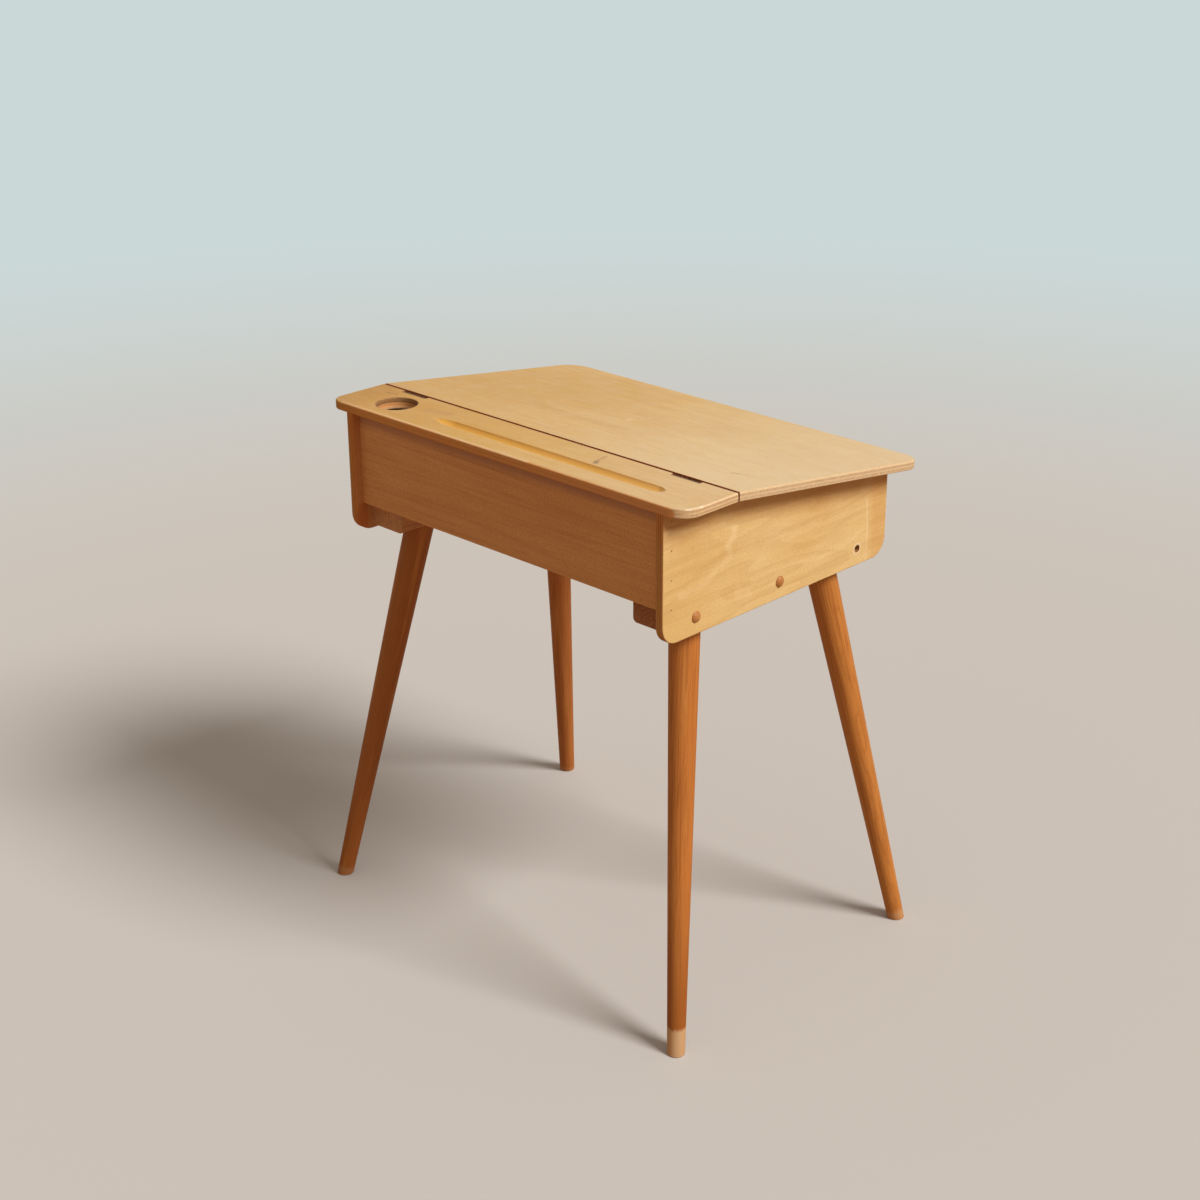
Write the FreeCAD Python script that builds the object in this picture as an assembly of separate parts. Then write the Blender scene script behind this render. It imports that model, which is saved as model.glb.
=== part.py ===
import FreeCAD, Part
import math
import os

# School desk: a shallow plywood box with a sloping lid, on four splayed round legs.
# Millimetres. +X is the pupil's right, +Y points away from the pupil, +Z is up.
# The origin is on the floor, in the middle of the desk's bounding box.

V = FreeCAD.Vector

# Boards
BOARD = 12.0                 # plywood of the strip, the lid and the two sides
PANEL = 6.0                  # plywood of the back, the front and the bottom
EDGE_ROUND = 1.8             # rounded edge of the strip and the lid
SEAM_ROUND = 1.0             # finer edge along the seam between strip and lid

# Top: a level strip behind a sloping lid
TOP_WIDTH = 650.0
TOP_HEIGHT = 734.0
STRIP_DEPTH = 96.5
SEAM = 2.0
LID_LENGTH = 375.8
LID_SLOPE_DEG = 7.7
STRIP_CORNER_LEFT = 29.0
STRIP_CORNER_RIGHT = 20.5      # sawn and sanded tighter than the left one
LID_CORNER = 32.0
LID_SEAT_GAP = 0.2

# Inkwell hole, just behind the strip's middle line, and pen groove
INKWELL_RADIUS = 28.0
INKWELL_FROM_END = 84.0
INKWELL_BEHIND_MIDDLE = 0.25
INKWELL_BEVEL = 0.8
INKWELL_LEDGE = 1.0
INKWELL_PLATE = 3.0
INKWELL_PLATE_BORDER = 11.0
GROOVE_FROM_LEFT_END = 69.0
GROOVE_FROM_RIGHT_END = 167.0
GROOVE_FROM_BACK = 40.0
GROOVE_WIDTH = 19.0
GROOVE_DEPTH = 5.5
GROOVE_RISE_RIGHT_DEG = 9.0
GROOVE_RISE_LEFT_DEG = 20.0

# Box under the top
SIDE_OVERHANG = 33.85
FRONT_OVERHANG = 32.7
BACK_OVERHANG = 1.0
CASE_DROP = 183.0
CASE_CORNER = 26.0
CASE_ROUND = 1.5
PANEL_DROP = 142.0
PANEL_RECESS = 12.0
PANEL_HOUSING = 4.0
PANEL_PLAY = 0.1
FRONT_TOP_GAP = 0.3
BOTTOM_PLAY = 0.2

# Rails that carry the legs
RAIL_WIDTH = 62.0
RAIL_HEIGHT = 35.0
RAIL_END_GAP = 27.0
RAIL_ROUND = 6.0

# Turned legs
LEG_TOP_DIAMETER = 41.0
LEG_FOOT_DIAMETER = 23.3
LEG_FROM_RAIL_END = 60.5
LEG_SPLAY_X_DEG = 8.7
LEG_SPLAY_Y_DEG = 10.37
TENON_DIAMETER = 22.0
TENON_LENGTH = 28.0
TENON_PLAY = 0.05
TENON_END_PLAY = 0.4

# Screws from the sides into the rails, under wooden caps
RAIL_SCREW_FROM_END = 33.0
RAIL_SCREW_RADIUS = 2.0
RAIL_SCREW_HEAD_RADIUS = 4.2
RAIL_SCREW_HEAD_HEIGHT = 2.4
RAIL_SCREW_LENGTH = 36.0
RAIL_SCREW_SLOT = 1.0
CAP_HOLE_RADIUS = 4.5
CAP_HOLE_DEPTH = 5.0
CAP_RADIUS = 7.5
CAP_RISE = 4.4
CAP_RIM = 0.7
CAP_STEM_LENGTH = 4.0
CAP_PLAY = 0.05
SCREW_PLAY = 0.05

# Panel pins and dowels
PIN_RADIUS = 0.9
PIN_LENGTH = 22.0
PIN_SINK = 0.3
PIN_PLAY = 0.03
BACK_PIN_COUNT = 4
BACK_PIN_TOP = 10.6
BACK_PIN_BOTTOM = 5.0
BOTTOM_PIN_COUNT = 3
BOTTOM_PIN_END = 42.0
DOWEL_RADIUS = 3.0
DOWEL_IN_STRIP = 8.0
DOWEL_IN_SIDE = 14.0
DOWEL_PLAY = 0.05
DOWEL_END_PLAY = 0.5
DOWEL_FROM_BACK = 24.0
DOWEL_PITCH = 52.0

# Hinges
HINGE_FROM_LEFT_SIDE = 34.6    # the two hinges don't sit alike
HINGE_FROM_RIGHT_SIDE = 25.0
HINGE_LENGTH = 46.5
HINGE_BARREL_RADIUS = 3.2
HINGE_PIN_RADIUS = 1.5
HINGE_PIN_PLAY = 0.05
HINGE_PIN_HEAD_RADIUS = 2.2
HINGE_PIN_HEAD_LENGTH = 0.8
HINGE_LEAF = 1.2
HINGE_GAP = 0.3
HINGE_KNUCKLES = 5
HINGE_PIVOT_DROP = 3.2
HINGE_PIVOT_BACK = 2.6
HINGE_LEAF_LIFT = 0.6
HINGE_NOTCH_PLAY = 1.4
HINGE_SCREW_OFFSET = 16.0
HINGE_SCREW_DROP = 8.9
HINGE_SCREW_RADIUS = 1.0
HINGE_SCREW_HEAD_RADIUS = 1.9
HINGE_SCREW_LENGTH = 10.0
HINGE_SCREW_SLOT = 0.5

# How far a cutting body runs past the wood
OVERRUN = 5.0

# Slopes and splays as ratios
SLOPE = math.radians(LID_SLOPE_DEG)
SPLAY_X = math.tan(math.radians(LEG_SPLAY_X_DEG))
SPLAY_Y = math.tan(math.radians(LEG_SPLAY_Y_DEG))

# Heights
STRIP_UNDER_Z = TOP_HEIGHT - BOARD
CASE_BOTTOM_Z = TOP_HEIGHT - CASE_DROP
PANEL_BOTTOM_Z = TOP_HEIGHT - PANEL_DROP
RAIL_BOTTOM_Z = PANEL_BOTTOM_Z - RAIL_HEIGHT
BOTTOM_TOP_Z = PANEL_BOTTOM_Z + PANEL

# Depths: the reach of lid and feet sets the origin in the middle
CORNER_SAVING = EDGE_ROUND * (math.cos(SLOPE) + math.sin(SLOPE) - 1)
FRONT_REACH = STRIP_DEPTH + SEAM + LID_LENGTH * math.cos(SLOPE) - CORNER_SAVING
CASE_DEPTH = FRONT_REACH - FRONT_OVERHANG - BACK_OVERHANG
RAIL_HALF_LENGTH = CASE_DEPTH / 2 - RAIL_END_GAP
LEG_SPREAD = RAIL_HALF_LENGTH - LEG_FROM_RAIL_END
RAIL_SCREW_PITCH = RAIL_HALF_LENGTH - RAIL_SCREW_FROM_END
FOOT_HALF = LEG_FOOT_DIAMETER / 2 * math.sqrt(1 + SPLAY_Y ** 2)
BACK_REACH = LEG_SPREAD + SPLAY_Y * RAIL_BOTTOM_Z + FOOT_HALF - BACK_OVERHANG - CASE_DEPTH / 2
STRIP_BACK_Y = (FRONT_REACH - BACK_REACH) / 2
STRIP_FRONT_Y = STRIP_BACK_Y - STRIP_DEPTH
LID_BACK_Y = STRIP_FRONT_Y - SEAM
CASE_BACK_Y = STRIP_BACK_Y - BACK_OVERHANG
CASE_FRONT_Y = CASE_BACK_Y - CASE_DEPTH
CASE_MIDDLE_Y = (CASE_BACK_Y + CASE_FRONT_Y) / 2
BACK_FACE_Y = CASE_BACK_Y - PANEL_RECESS
BACK_INNER_Y = BACK_FACE_Y - PANEL
FRONT_FACE_Y = CASE_FRONT_Y + PANEL_RECESS
FRONT_INNER_Y = FRONT_FACE_Y + PANEL

# Widths
SIDE_OUTER_X = TOP_WIDTH / 2 - SIDE_OVERHANG
SIDE_INNER_X = SIDE_OUTER_X - BOARD
INKWELL_X = TOP_WIDTH / 2 - INKWELL_FROM_END
INKWELL_Y = (STRIP_BACK_Y + STRIP_FRONT_Y) / 2 + INKWELL_BEHIND_MIDDLE
HINGE_MIDDLES = {-1: HINGE_FROM_LEFT_SIDE - SIDE_INNER_X, 1: SIDE_INNER_X - HINGE_FROM_RIGHT_SIDE}
RAIL_INNER_X = SIDE_INNER_X - RAIL_WIDTH
RAIL_MIDDLE_X = (SIDE_INNER_X + RAIL_INNER_X) / 2
RAIL_SCREW_Z = (PANEL_BOTTOM_Z + RAIL_BOTTOM_Z) / 2
RAIL_SCREW_YS = [CASE_MIDDLE_Y + step * RAIL_SCREW_PITCH for step in (-1, 0, 1)]

# Hinge axis, height of its screws and the wall of its notch
PIVOT_Y = STRIP_FRONT_Y + HINGE_PIVOT_BACK
PIVOT_Z = TOP_HEIGHT - HINGE_PIVOT_DROP
NOTCH_Y = PIVOT_Y + HINGE_BARREL_RADIUS + HINGE_GAP
HINGE_SCREW_Z = TOP_HEIGHT - HINGE_SCREW_DROP
LEAF_BOTTOM_Z = STRIP_UNDER_Z + HINGE_LEAF_LIFT


def box(x0, x1, y0, y1, z0, z1):
    """Block between two opposite corners, in any order."""
    low = V(min(x0, x1), min(y0, y1), min(z0, z1))
    return Part.makeBox(abs(x1 - x0), abs(y1 - y0), abs(z1 - z0), low)


def profile(points, x0, x1):
    """Flat outline of (y, z) points, pushed out from x0 to x1."""
    corners = [V(x0, y, z) for y, z in points]
    face = Part.Face(Part.makePolygon(corners + corners[:1]))
    return face.extrude(V(x1 - x0, 0, 0))


def rod(radius, start, end):
    """Round bar between two points."""
    run = end.sub(start)
    return Part.makeCylinder(radius, run.Length, start, run)


def taper(radius0, radius1, start, end):
    """Round tapered bar between two points."""
    run = end.sub(start)
    return Part.makeCone(radius0, radius1, run.Length, start, run)


def rounded(shape, radius, wanted):
    """Shape with a fillet on each edge for which wanted(edge) is true."""
    edges = [edge for edge in shape.Edges if wanted(edge)]
    return shape.makeFillet(radius, edges)


def spun(points, origin, way):
    """Solid of revolution: (along, radius) points turned about the line from origin along way."""
    corners = [V(radius, 0, along) for along, radius in points]
    face = Part.Face(Part.makePolygon(corners + corners[:1]))
    solid = face.revolve(V(0, 0, 0), V(0, 0, 1), 360)
    solid.Placement = FreeCAD.Placement(origin, FreeCAD.Rotation(V(0, 0, 1), way))
    return solid


def is_upright(edge):
    """True for a straight edge that runs along Z."""
    box_ = edge.BoundBox
    return len(edge.Vertexes) > 1 and box_.XLength + box_.YLength < box_.ZLength * 0.01


def lid_z(y):
    """Height of the lid's upper face."""
    return TOP_HEIGHT - (LID_BACK_Y - y) * math.tan(SLOPE)


def case_top_z(y):
    """Height of the sides' sloping edge, just under the closed lid."""
    return lid_z(y) - BOARD / math.cos(SLOPE) - LID_SEAT_GAP


# The case's kink: where the sloping edge meets the strip's underside
KINK_Y = LID_BACK_Y + (BOARD / math.cos(SLOPE) + LID_SEAT_GAP - BOARD) / math.tan(SLOPE)


# Splayed legs

def leg_point(side, end, z):
    """Point on a leg's axis; side and end are -1 or 1 for X and Y."""
    drop = RAIL_BOTTOM_Z - z
    x = side * (RAIL_MIDDLE_X + SPLAY_X * drop)
    y = CASE_MIDDLE_Y + end * (LEG_SPREAD + SPLAY_Y * drop)
    return V(x, y, z)


def tenon_bar(side, end, radius, length):
    """Bar along a leg's axis, from the leg's shoulder up into the rail."""
    foot = leg_point(side, end, 0)
    shoulder = leg_point(side, end, RAIL_BOTTOM_Z)
    way = shoulder.sub(foot).normalize()
    return rod(radius, shoulder.sub(way * OVERRUN), shoulder.add(way * length))


def leg(side, end):
    """Turned leg: straight taper, flat foot, shoulder under the rail and a round tenon."""
    foot = leg_point(side, end, 0)
    shoulder = leg_point(side, end, RAIL_BOTTOM_Z)
    run = shoulder.sub(foot)
    way = run * (1 / run.Length)
    spare = LEG_TOP_DIAMETER
    growth = (LEG_TOP_DIAMETER - LEG_FOOT_DIAMETER) / 2 / run.Length
    low_radius = LEG_FOOT_DIAMETER / 2 - growth * spare
    high_radius = LEG_TOP_DIAMETER / 2 + growth * spare
    bar = taper(low_radius, high_radius, foot.sub(way * spare), shoulder.add(way * spare))
    x, y = side * TOP_WIDTH, end * TOP_WIDTH
    body = bar.common(box(0, x, CASE_MIDDLE_Y, CASE_MIDDLE_Y + y, 0, RAIL_BOTTOM_Z))
    tenon = tenon_bar(side, end, TENON_DIAMETER / 2, TENON_LENGTH)
    return body.fuse(tenon).removeSplitter()


# Screws, pins and dowels

def slotted_screw(head, way, radius, head_radius, head_height, length, slot):
    """Countersunk screw; head is the middle of its outer face, way points into the wood."""
    points = [
        (0, 0),
        (0, head_radius),
        (head_height, radius),
        (length - radius, radius),
        (length, 0),
    ]
    screw = spun(points, head, way)
    wide = head_radius * 2
    if abs(way.x) > abs(way.y):
        cutter = box(-slot, slot, -slot / 2, slot / 2, -wide, wide)
    else:
        cutter = box(-wide, wide, -slot, slot, -slot / 2, slot / 2)
    cutter.translate(head)
    return screw.cut(cutter)


def panel_pin(head, way):
    """Thin headless nail; head is the middle of its outer end."""
    return rod(PIN_RADIUS, head, head.add(way * PIN_LENGTH))


def pin_hole(head, way):
    """Hole that a panel pin fills, open at its outer end."""
    return rod(PIN_RADIUS + PIN_PLAY, head.sub(way * OVERRUN), head.add(way * (PIN_LENGTH + PIN_PLAY)))


def rail_screw_head(side, y):
    """Middle of a rail screw's head, at the bottom of its cap hole."""
    return V(side * (SIDE_OUTER_X - CAP_HOLE_DEPTH), y, RAIL_SCREW_Z)


def rail_screw(side, y):
    """Screw through a side into the leg rail."""
    return slotted_screw(
        rail_screw_head(side, y), V(-side, 0, 0), RAIL_SCREW_RADIUS, RAIL_SCREW_HEAD_RADIUS,
        RAIL_SCREW_HEAD_HEIGHT, RAIL_SCREW_LENGTH, RAIL_SCREW_SLOT)


def rail_screw_hole(side, y):
    """Countersunk hole for a rail screw, with the cap's hole in front of it."""
    points = [
        (-CAP_HOLE_DEPTH - OVERRUN, 0),
        (-CAP_HOLE_DEPTH - OVERRUN, CAP_HOLE_RADIUS),
        (0, CAP_HOLE_RADIUS),
        (RAIL_SCREW_HEAD_HEIGHT, RAIL_SCREW_RADIUS + SCREW_PLAY),
        (RAIL_SCREW_LENGTH + SCREW_PLAY, RAIL_SCREW_RADIUS + SCREW_PLAY),
        (RAIL_SCREW_LENGTH + SCREW_PLAY, 0),
    ]
    return spun(points, rail_screw_head(side, y), V(-side, 0, 0))


def screw_cap(side, y):
    """Domed wooden cap with a stem that plugs the screw's hole."""
    stem = CAP_HOLE_RADIUS - CAP_PLAY
    crown = V(0, 0, CAP_RISE)
    rim = V(CAP_RADIUS, 0, CAP_RIM)
    dome_radius = (CAP_RADIUS ** 2 + (CAP_RISE - CAP_RIM) ** 2) / 2 / (CAP_RISE - CAP_RIM)
    half = math.asin(CAP_RADIUS / dome_radius) / 2
    on_dome = V(dome_radius * math.sin(half), 0, CAP_RISE - dome_radius * (1 - math.cos(half)))
    low = [V(0, 0, -CAP_STEM_LENGTH), V(stem, 0, -CAP_STEM_LENGTH), V(stem, 0, 0),
           V(CAP_RADIUS, 0, 0), rim]
    lines = [Part.makeLine(a, b) for a, b in zip(low, low[1:])]
    arc = Part.Arc(rim, on_dome, crown).toShape()
    wire = Part.Wire(lines + [arc, Part.makeLine(crown, low[0])])
    cap = Part.Face(wire).revolve(V(0, 0, 0), V(0, 0, 1), 360)
    turn = FreeCAD.Rotation(V(0, 0, 1), V(side, 0, 0))
    cap.Placement = FreeCAD.Placement(V(side * SIDE_OUTER_X, y, RAIL_SCREW_Z), turn)
    return cap


def back_pin_heads(side):
    """Outer ends of the pins that hold one end of the back panel."""
    high = STRIP_UNDER_Z - BACK_PIN_TOP
    low = PANEL_BOTTOM_Z + BACK_PIN_BOTTOM
    step = (high - low) / (BACK_PIN_COUNT - 1)
    y = (BACK_FACE_Y + BACK_INNER_Y) / 2
    return [V(side * (SIDE_OUTER_X - PIN_SINK), y, low + row * step) for row in range(BACK_PIN_COUNT)]


def bottom_pin_heads(side):
    """Upper ends of the pins from the bottom board into one rail."""
    back = CASE_BACK_Y - RAIL_END_GAP - BOTTOM_PIN_END
    front = CASE_FRONT_Y + RAIL_END_GAP + BOTTOM_PIN_END
    step = (back - front) / (BOTTOM_PIN_COUNT - 1)
    x = side * RAIL_MIDDLE_X
    return [V(x, front + row * step, BOTTOM_TOP_Z - PIN_SINK) for row in range(BOTTOM_PIN_COUNT)]


def dowel_places(side):
    """Middles of the dowels between a side's upper edge and the strip."""
    x = side * (SIDE_INNER_X + SIDE_OUTER_X) / 2
    first = STRIP_BACK_Y - DOWEL_FROM_BACK
    return [V(x, first - step * DOWEL_PITCH, STRIP_UNDER_Z) for step in (0, 1)]


def dowel(place, play, end_play):
    """Dowel that stands half in the side and half in the strip."""
    low = place.sub(V(0, 0, DOWEL_IN_SIDE + end_play))
    high = place.add(V(0, 0, DOWEL_IN_STRIP + end_play))
    return rod(DOWEL_RADIUS + play, low, high)


# Box

def side_panel(side):
    """Side of the box: round lower corners, sloping upper edge, grooves for back and front."""
    points = [
        (CASE_BACK_Y, CASE_BOTTOM_Z),
        (CASE_BACK_Y, STRIP_UNDER_Z),
        (KINK_Y, STRIP_UNDER_Z),
        (CASE_FRONT_Y, case_top_z(CASE_FRONT_Y)),
        (CASE_FRONT_Y, CASE_BOTTOM_Z),
    ]
    inner, outer = side * SIDE_INNER_X, side * SIDE_OUTER_X
    panel = profile(points, inner, outer)
    low = CASE_BOTTOM_Z + CASE_CORNER
    panel = rounded(panel, CASE_CORNER, lambda edge: edge.BoundBox.ZMax < low
                    and edge.BoundBox.YLength < BOARD / 2 and edge.BoundBox.XLength > BOARD / 2)

    def on_outline(edge):
        """True on the lower, back and front edges of both faces."""
        bounds = edge.BoundBox
        flat = bounds.XLength < BOARD / 2
        return flat and bounds.ZMin < case_top_z(CASE_FRONT_Y) - BOARD

    panel = rounded(panel, CASE_ROUND, on_outline)
    housing = side * (SIDE_INNER_X + PANEL_HOUSING)
    past = side * (SIDE_INNER_X - OVERRUN)
    groove_z = PANEL_BOTTOM_Z - PANEL_PLAY
    cuts = [
        box(past, housing, BACK_FACE_Y + PANEL_PLAY, BACK_INNER_Y - PANEL_PLAY, groove_z, TOP_HEIGHT),
        box(past, housing, FRONT_FACE_Y - PANEL_PLAY, FRONT_INNER_Y + PANEL_PLAY, groove_z, TOP_HEIGHT),
    ]
    cuts += [rail_screw_hole(side, y) for y in RAIL_SCREW_YS]
    cuts += [pin_hole(head, V(-side, 0, 0)) for head in back_pin_heads(side)]
    cuts += [dowel(place, DOWEL_PLAY, DOWEL_END_PLAY) for place in dowel_places(side)]
    return panel.cut(cuts)


def back_panel():
    """Thin back of the box, housed in both sides."""
    end = SIDE_INNER_X + PANEL_HOUSING - PANEL_PLAY
    panel = box(-end, end, BACK_FACE_Y, BACK_INNER_Y, PANEL_BOTTOM_Z, STRIP_UNDER_Z)
    holes = [pin_hole(head, V(-side, 0, 0)) for side in (-1, 1) for head in back_pin_heads(side)]
    return panel.cut(holes)


def front_panel():
    """Thin front of the box under the lid's overhang, with a sloping upper edge."""
    end = SIDE_INNER_X + PANEL_HOUSING - PANEL_PLAY
    gap = FRONT_TOP_GAP - LID_SEAT_GAP
    points = [
        (FRONT_FACE_Y, PANEL_BOTTOM_Z),
        (FRONT_INNER_Y, PANEL_BOTTOM_Z),
        (FRONT_INNER_Y, case_top_z(FRONT_INNER_Y) - gap),
        (FRONT_FACE_Y, case_top_z(FRONT_FACE_Y) - gap),
    ]
    return profile(points, -end, end)


def bottom_board():
    """Floor of the storage space, on both rails."""
    end = SIDE_INNER_X - BOTTOM_PLAY
    board = box(-end, end, BACK_INNER_Y - BOTTOM_PLAY, FRONT_INNER_Y + BOTTOM_PLAY,
                PANEL_BOTTOM_Z, BOTTOM_TOP_Z)
    return board.cut([pin_hole(head, V(0, 0, -1)) for side in (-1, 1) for head in bottom_pin_heads(side)])


def leg_rail(side):
    """Rail under the box along one side, bored at a slant for two legs."""
    back, front = CASE_BACK_Y - RAIL_END_GAP, CASE_FRONT_Y + RAIL_END_GAP
    inner, outer = side * RAIL_INNER_X, side * SIDE_INNER_X
    rail = box(inner, outer, back, front, RAIL_BOTTOM_Z, PANEL_BOTTOM_Z)

    def lower_inner(edge):
        """True on the long lower edge away from the side."""
        bounds = edge.BoundBox
        near = abs(abs(bounds.XMin) - RAIL_INNER_X) < RAIL_ROUND
        return near and bounds.YLength > RAIL_WIDTH and bounds.ZMax < RAIL_SCREW_Z

    rail = rounded(rail, RAIL_ROUND, lower_inner)
    bore = TENON_DIAMETER / 2 + TENON_PLAY
    depth = TENON_LENGTH + TENON_END_PLAY
    cuts = [tenon_bar(side, end, bore, depth) for end in (-1, 1)]
    cuts += [rail_screw_hole(side, y) for y in RAIL_SCREW_YS]
    cuts += [pin_hole(head, V(0, 0, -1)) for head in bottom_pin_heads(side)]
    return rail.cut(cuts)


# Top

def pen_groove():
    """Cutting body of the pen groove: a round bar that rises out of the wood at both ends."""
    radius = (GROOVE_WIDTH ** 2 / 4 + GROOVE_DEPTH ** 2) / 2 / GROOVE_DEPTH
    y = STRIP_BACK_Y - GROOVE_FROM_BACK
    low = TOP_HEIGHT - GROOVE_DEPTH
    rises = {-1: math.radians(GROOVE_RISE_LEFT_DEG), 1: math.radians(GROOVE_RISE_RIGHT_DEG)}
    reach = {-1: TOP_WIDTH / 2 - GROOVE_FROM_LEFT_END, 1: TOP_WIDTH / 2 - GROOVE_FROM_RIGHT_END}
    turn = {side: reach[side] - GROOVE_DEPTH / math.tan(rises[side]) for side in rises}
    axis_z = low + radius
    bars = [rod(radius, V(-turn[-1], y, axis_z), V(turn[1], y, axis_z))]
    for side, rise in rises.items():
        start = V(side * turn[side], y, axis_z)
        way = V(side * math.cos(rise), 0, math.sin(rise))
        bars.append(rod(radius, start, start.add(way * (2 * GROOVE_DEPTH / math.sin(rise)))))
        bars.append(Part.makeSphere(radius, start))
    return bars


def hinge_notch(side):
    """Notch in the strip's front edge that takes a hinge's barrel."""
    middle = HINGE_MIDDLES[side]
    half = HINGE_LENGTH / 2 + HINGE_NOTCH_PLAY
    return box(middle - half, middle + half, STRIP_FRONT_Y - OVERRUN, NOTCH_Y,
               STRIP_UNDER_Z - OVERRUN, TOP_HEIGHT + OVERRUN)


def inkwell_centre(z):
    """Middle of the inkwell hole at a height."""
    return V(INKWELL_X, INKWELL_Y, z)


def pen_tray_strip():
    """Level strip behind the lid, with the pen groove, the inkwell hole and the hinge notches."""
    half = TOP_WIDTH / 2
    strip = box(-half, half, STRIP_FRONT_Y, STRIP_BACK_Y, STRIP_UNDER_Z, TOP_HEIGHT)
    for side, radius in ((-1, STRIP_CORNER_LEFT), (1, STRIP_CORNER_RIGHT)):
        strip = rounded(strip, radius, lambda edge: is_upright(edge) and edge.BoundBox.XMin * side > 0
                        and edge.BoundBox.YMin > STRIP_BACK_Y - radius)
    seam = STRIP_FRONT_Y + SEAM_ROUND
    strip = rounded(strip, EDGE_ROUND, lambda edge: not is_upright(edge) and edge.BoundBox.YMax > seam)
    strip = rounded(strip, SEAM_ROUND, lambda edge: edge.BoundBox.YMax < seam
                    and edge.BoundBox.XLength > half and edge.BoundBox.ZMin > STRIP_UNDER_Z + SEAM_ROUND)
    hole = rod(INKWELL_RADIUS, inkwell_centre(STRIP_UNDER_Z - OVERRUN), inkwell_centre(TOP_HEIGHT + OVERRUN))
    strip = strip.cut(hole)
    rims = [edge for edge in strip.Edges if len(edge.Vertexes) == 1
            and edge.BoundBox.ZMin > TOP_HEIGHT - INKWELL_BEVEL and edge.BoundBox.XLength > INKWELL_RADIUS]
    strip = strip.makeChamfer(INKWELL_BEVEL, rims)
    cuts = pen_groove() + [hinge_notch(side) for side in (-1, 1)]
    cuts += [dowel(place, DOWEL_PLAY, DOWEL_END_PLAY) for side in (-1, 1) for place in dowel_places(side)]
    cuts += [hinge_screw_hole(place, V(0, 1, 0)) for side in (-1, 1) for place in fixed_screw_heads(side)]
    return strip.cut(cuts)


def inkwell_plate():
    """Thin plate glued under the strip, whose smaller hole leaves a ledge for the inkwell."""
    centre = inkwell_centre(STRIP_UNDER_Z)
    left = centre.x - INKWELL_RADIUS - INKWELL_PLATE_BORDER
    right = SIDE_INNER_X - BOTTOM_PLAY
    front = centre.y - INKWELL_RADIUS - INKWELL_PLATE_BORDER
    back = BACK_INNER_Y - BOTTOM_PLAY
    low = STRIP_UNDER_Z - INKWELL_PLATE
    plate = box(left, right, front, back, low, STRIP_UNDER_Z)
    radius = INKWELL_RADIUS - INKWELL_LEDGE
    return plate.cut(rod(radius, inkwell_centre(low - OVERRUN), inkwell_centre(STRIP_UNDER_Z + OVERRUN)))


def lid():
    """Sloping lid: round front corners, plumb back edge with a housing for each hinge leaf."""
    half = TOP_WIDTH / 2
    along = V(0, -math.cos(SLOPE), -math.sin(SLOPE))
    down = V(0, math.sin(SLOPE), -math.cos(SLOPE))
    top_back = V(0, LID_BACK_Y, TOP_HEIGHT)
    top_front = top_back.add(along * LID_LENGTH)
    low_front = top_front.add(down * BOARD)
    points = [
        (LID_BACK_Y, TOP_HEIGHT),
        (top_front.y, top_front.z),
        (low_front.y, low_front.z),
        (LID_BACK_Y, TOP_HEIGHT - BOARD / math.cos(SLOPE)),
    ]
    board = profile(points, -half, half)
    front = low_front.y + BOARD
    board = rounded(board, LID_CORNER, lambda edge: edge.BoundBox.YMax < front
                    and edge.BoundBox.XLength < BOARD and edge.BoundBox.ZLength > BOARD / 2)
    seam = LID_BACK_Y - SEAM_ROUND
    board = rounded(board, EDGE_ROUND, lambda edge: edge.BoundBox.YMin < seam
                    and (edge.BoundBox.XLength > BOARD or edge.BoundBox.YLength > BOARD))
    board = rounded(board, SEAM_ROUND, lambda edge: edge.BoundBox.YMin > seam
                    and edge.BoundBox.XLength > half and edge.BoundBox.ZMin > STRIP_UNDER_Z + SEAM_ROUND)
    cuts = [lid_leaf_plate(side, HINGE_PIN_PLAY, OVERRUN) for side in (-1, 1)]
    cuts += [hinge_screw_hole(place, V(0, -1, 0)) for side in (-1, 1) for place in lid_screw_heads(side)]
    return board.cut(cuts)


# Hinges

def knuckle_spans(side, moving):
    """Start and end of each knuckle of one leaf; moving is 1 for the lid's leaf and 0 for the strip's."""
    pitch = HINGE_LENGTH / HINGE_KNUCKLES
    start = HINGE_MIDDLES[side] - HINGE_LENGTH / 2
    return [(start + row * pitch, start + (row + 1) * pitch) for row in range(moving, HINGE_KNUCKLES, 2)]


def axis_bar(radius, x0, x1):
    """Round bar on the hinge axis."""
    return rod(radius, V(x0, PIVOT_Y, PIVOT_Z), V(x1, PIVOT_Y, PIVOT_Z))


def hinge_leaf(side, plate, moving):
    """Leaf: its plate with knuckles, cleared for the other leaf's knuckles and bored for the pin."""
    half = HINGE_GAP / 2
    own = knuckle_spans(side, moving)
    other = knuckle_spans(side, 1 - moving)
    cleared = plate.cut([axis_bar(HINGE_BARREL_RADIUS + HINGE_GAP, x0 - half, x1 + half) for x0, x1 in other])
    barrels = [axis_bar(HINGE_BARREL_RADIUS, x0 + half, x1 - half) for x0, x1 in own]
    leaf = cleared.fuse(barrels)
    middle = HINGE_MIDDLES[side]
    bore = axis_bar(HINGE_PIN_RADIUS + HINGE_PIN_PLAY, middle - HINGE_LENGTH, middle + HINGE_LENGTH)
    return leaf.cut(bore).removeSplitter()


def fixed_leaf(side):
    """Leaf on the wall of the strip's notch."""
    middle = HINGE_MIDDLES[side]
    half = HINGE_LENGTH / 2
    plate = box(middle - half, middle + half, NOTCH_Y - HINGE_LEAF, NOTCH_Y, LEAF_BOTTOM_Z, PIVOT_Z)
    leaf = hinge_leaf(side, plate, 0)
    return leaf.cut([countersink(place, V(0, 1, 0)) for place in fixed_screw_heads(side)])


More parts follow.
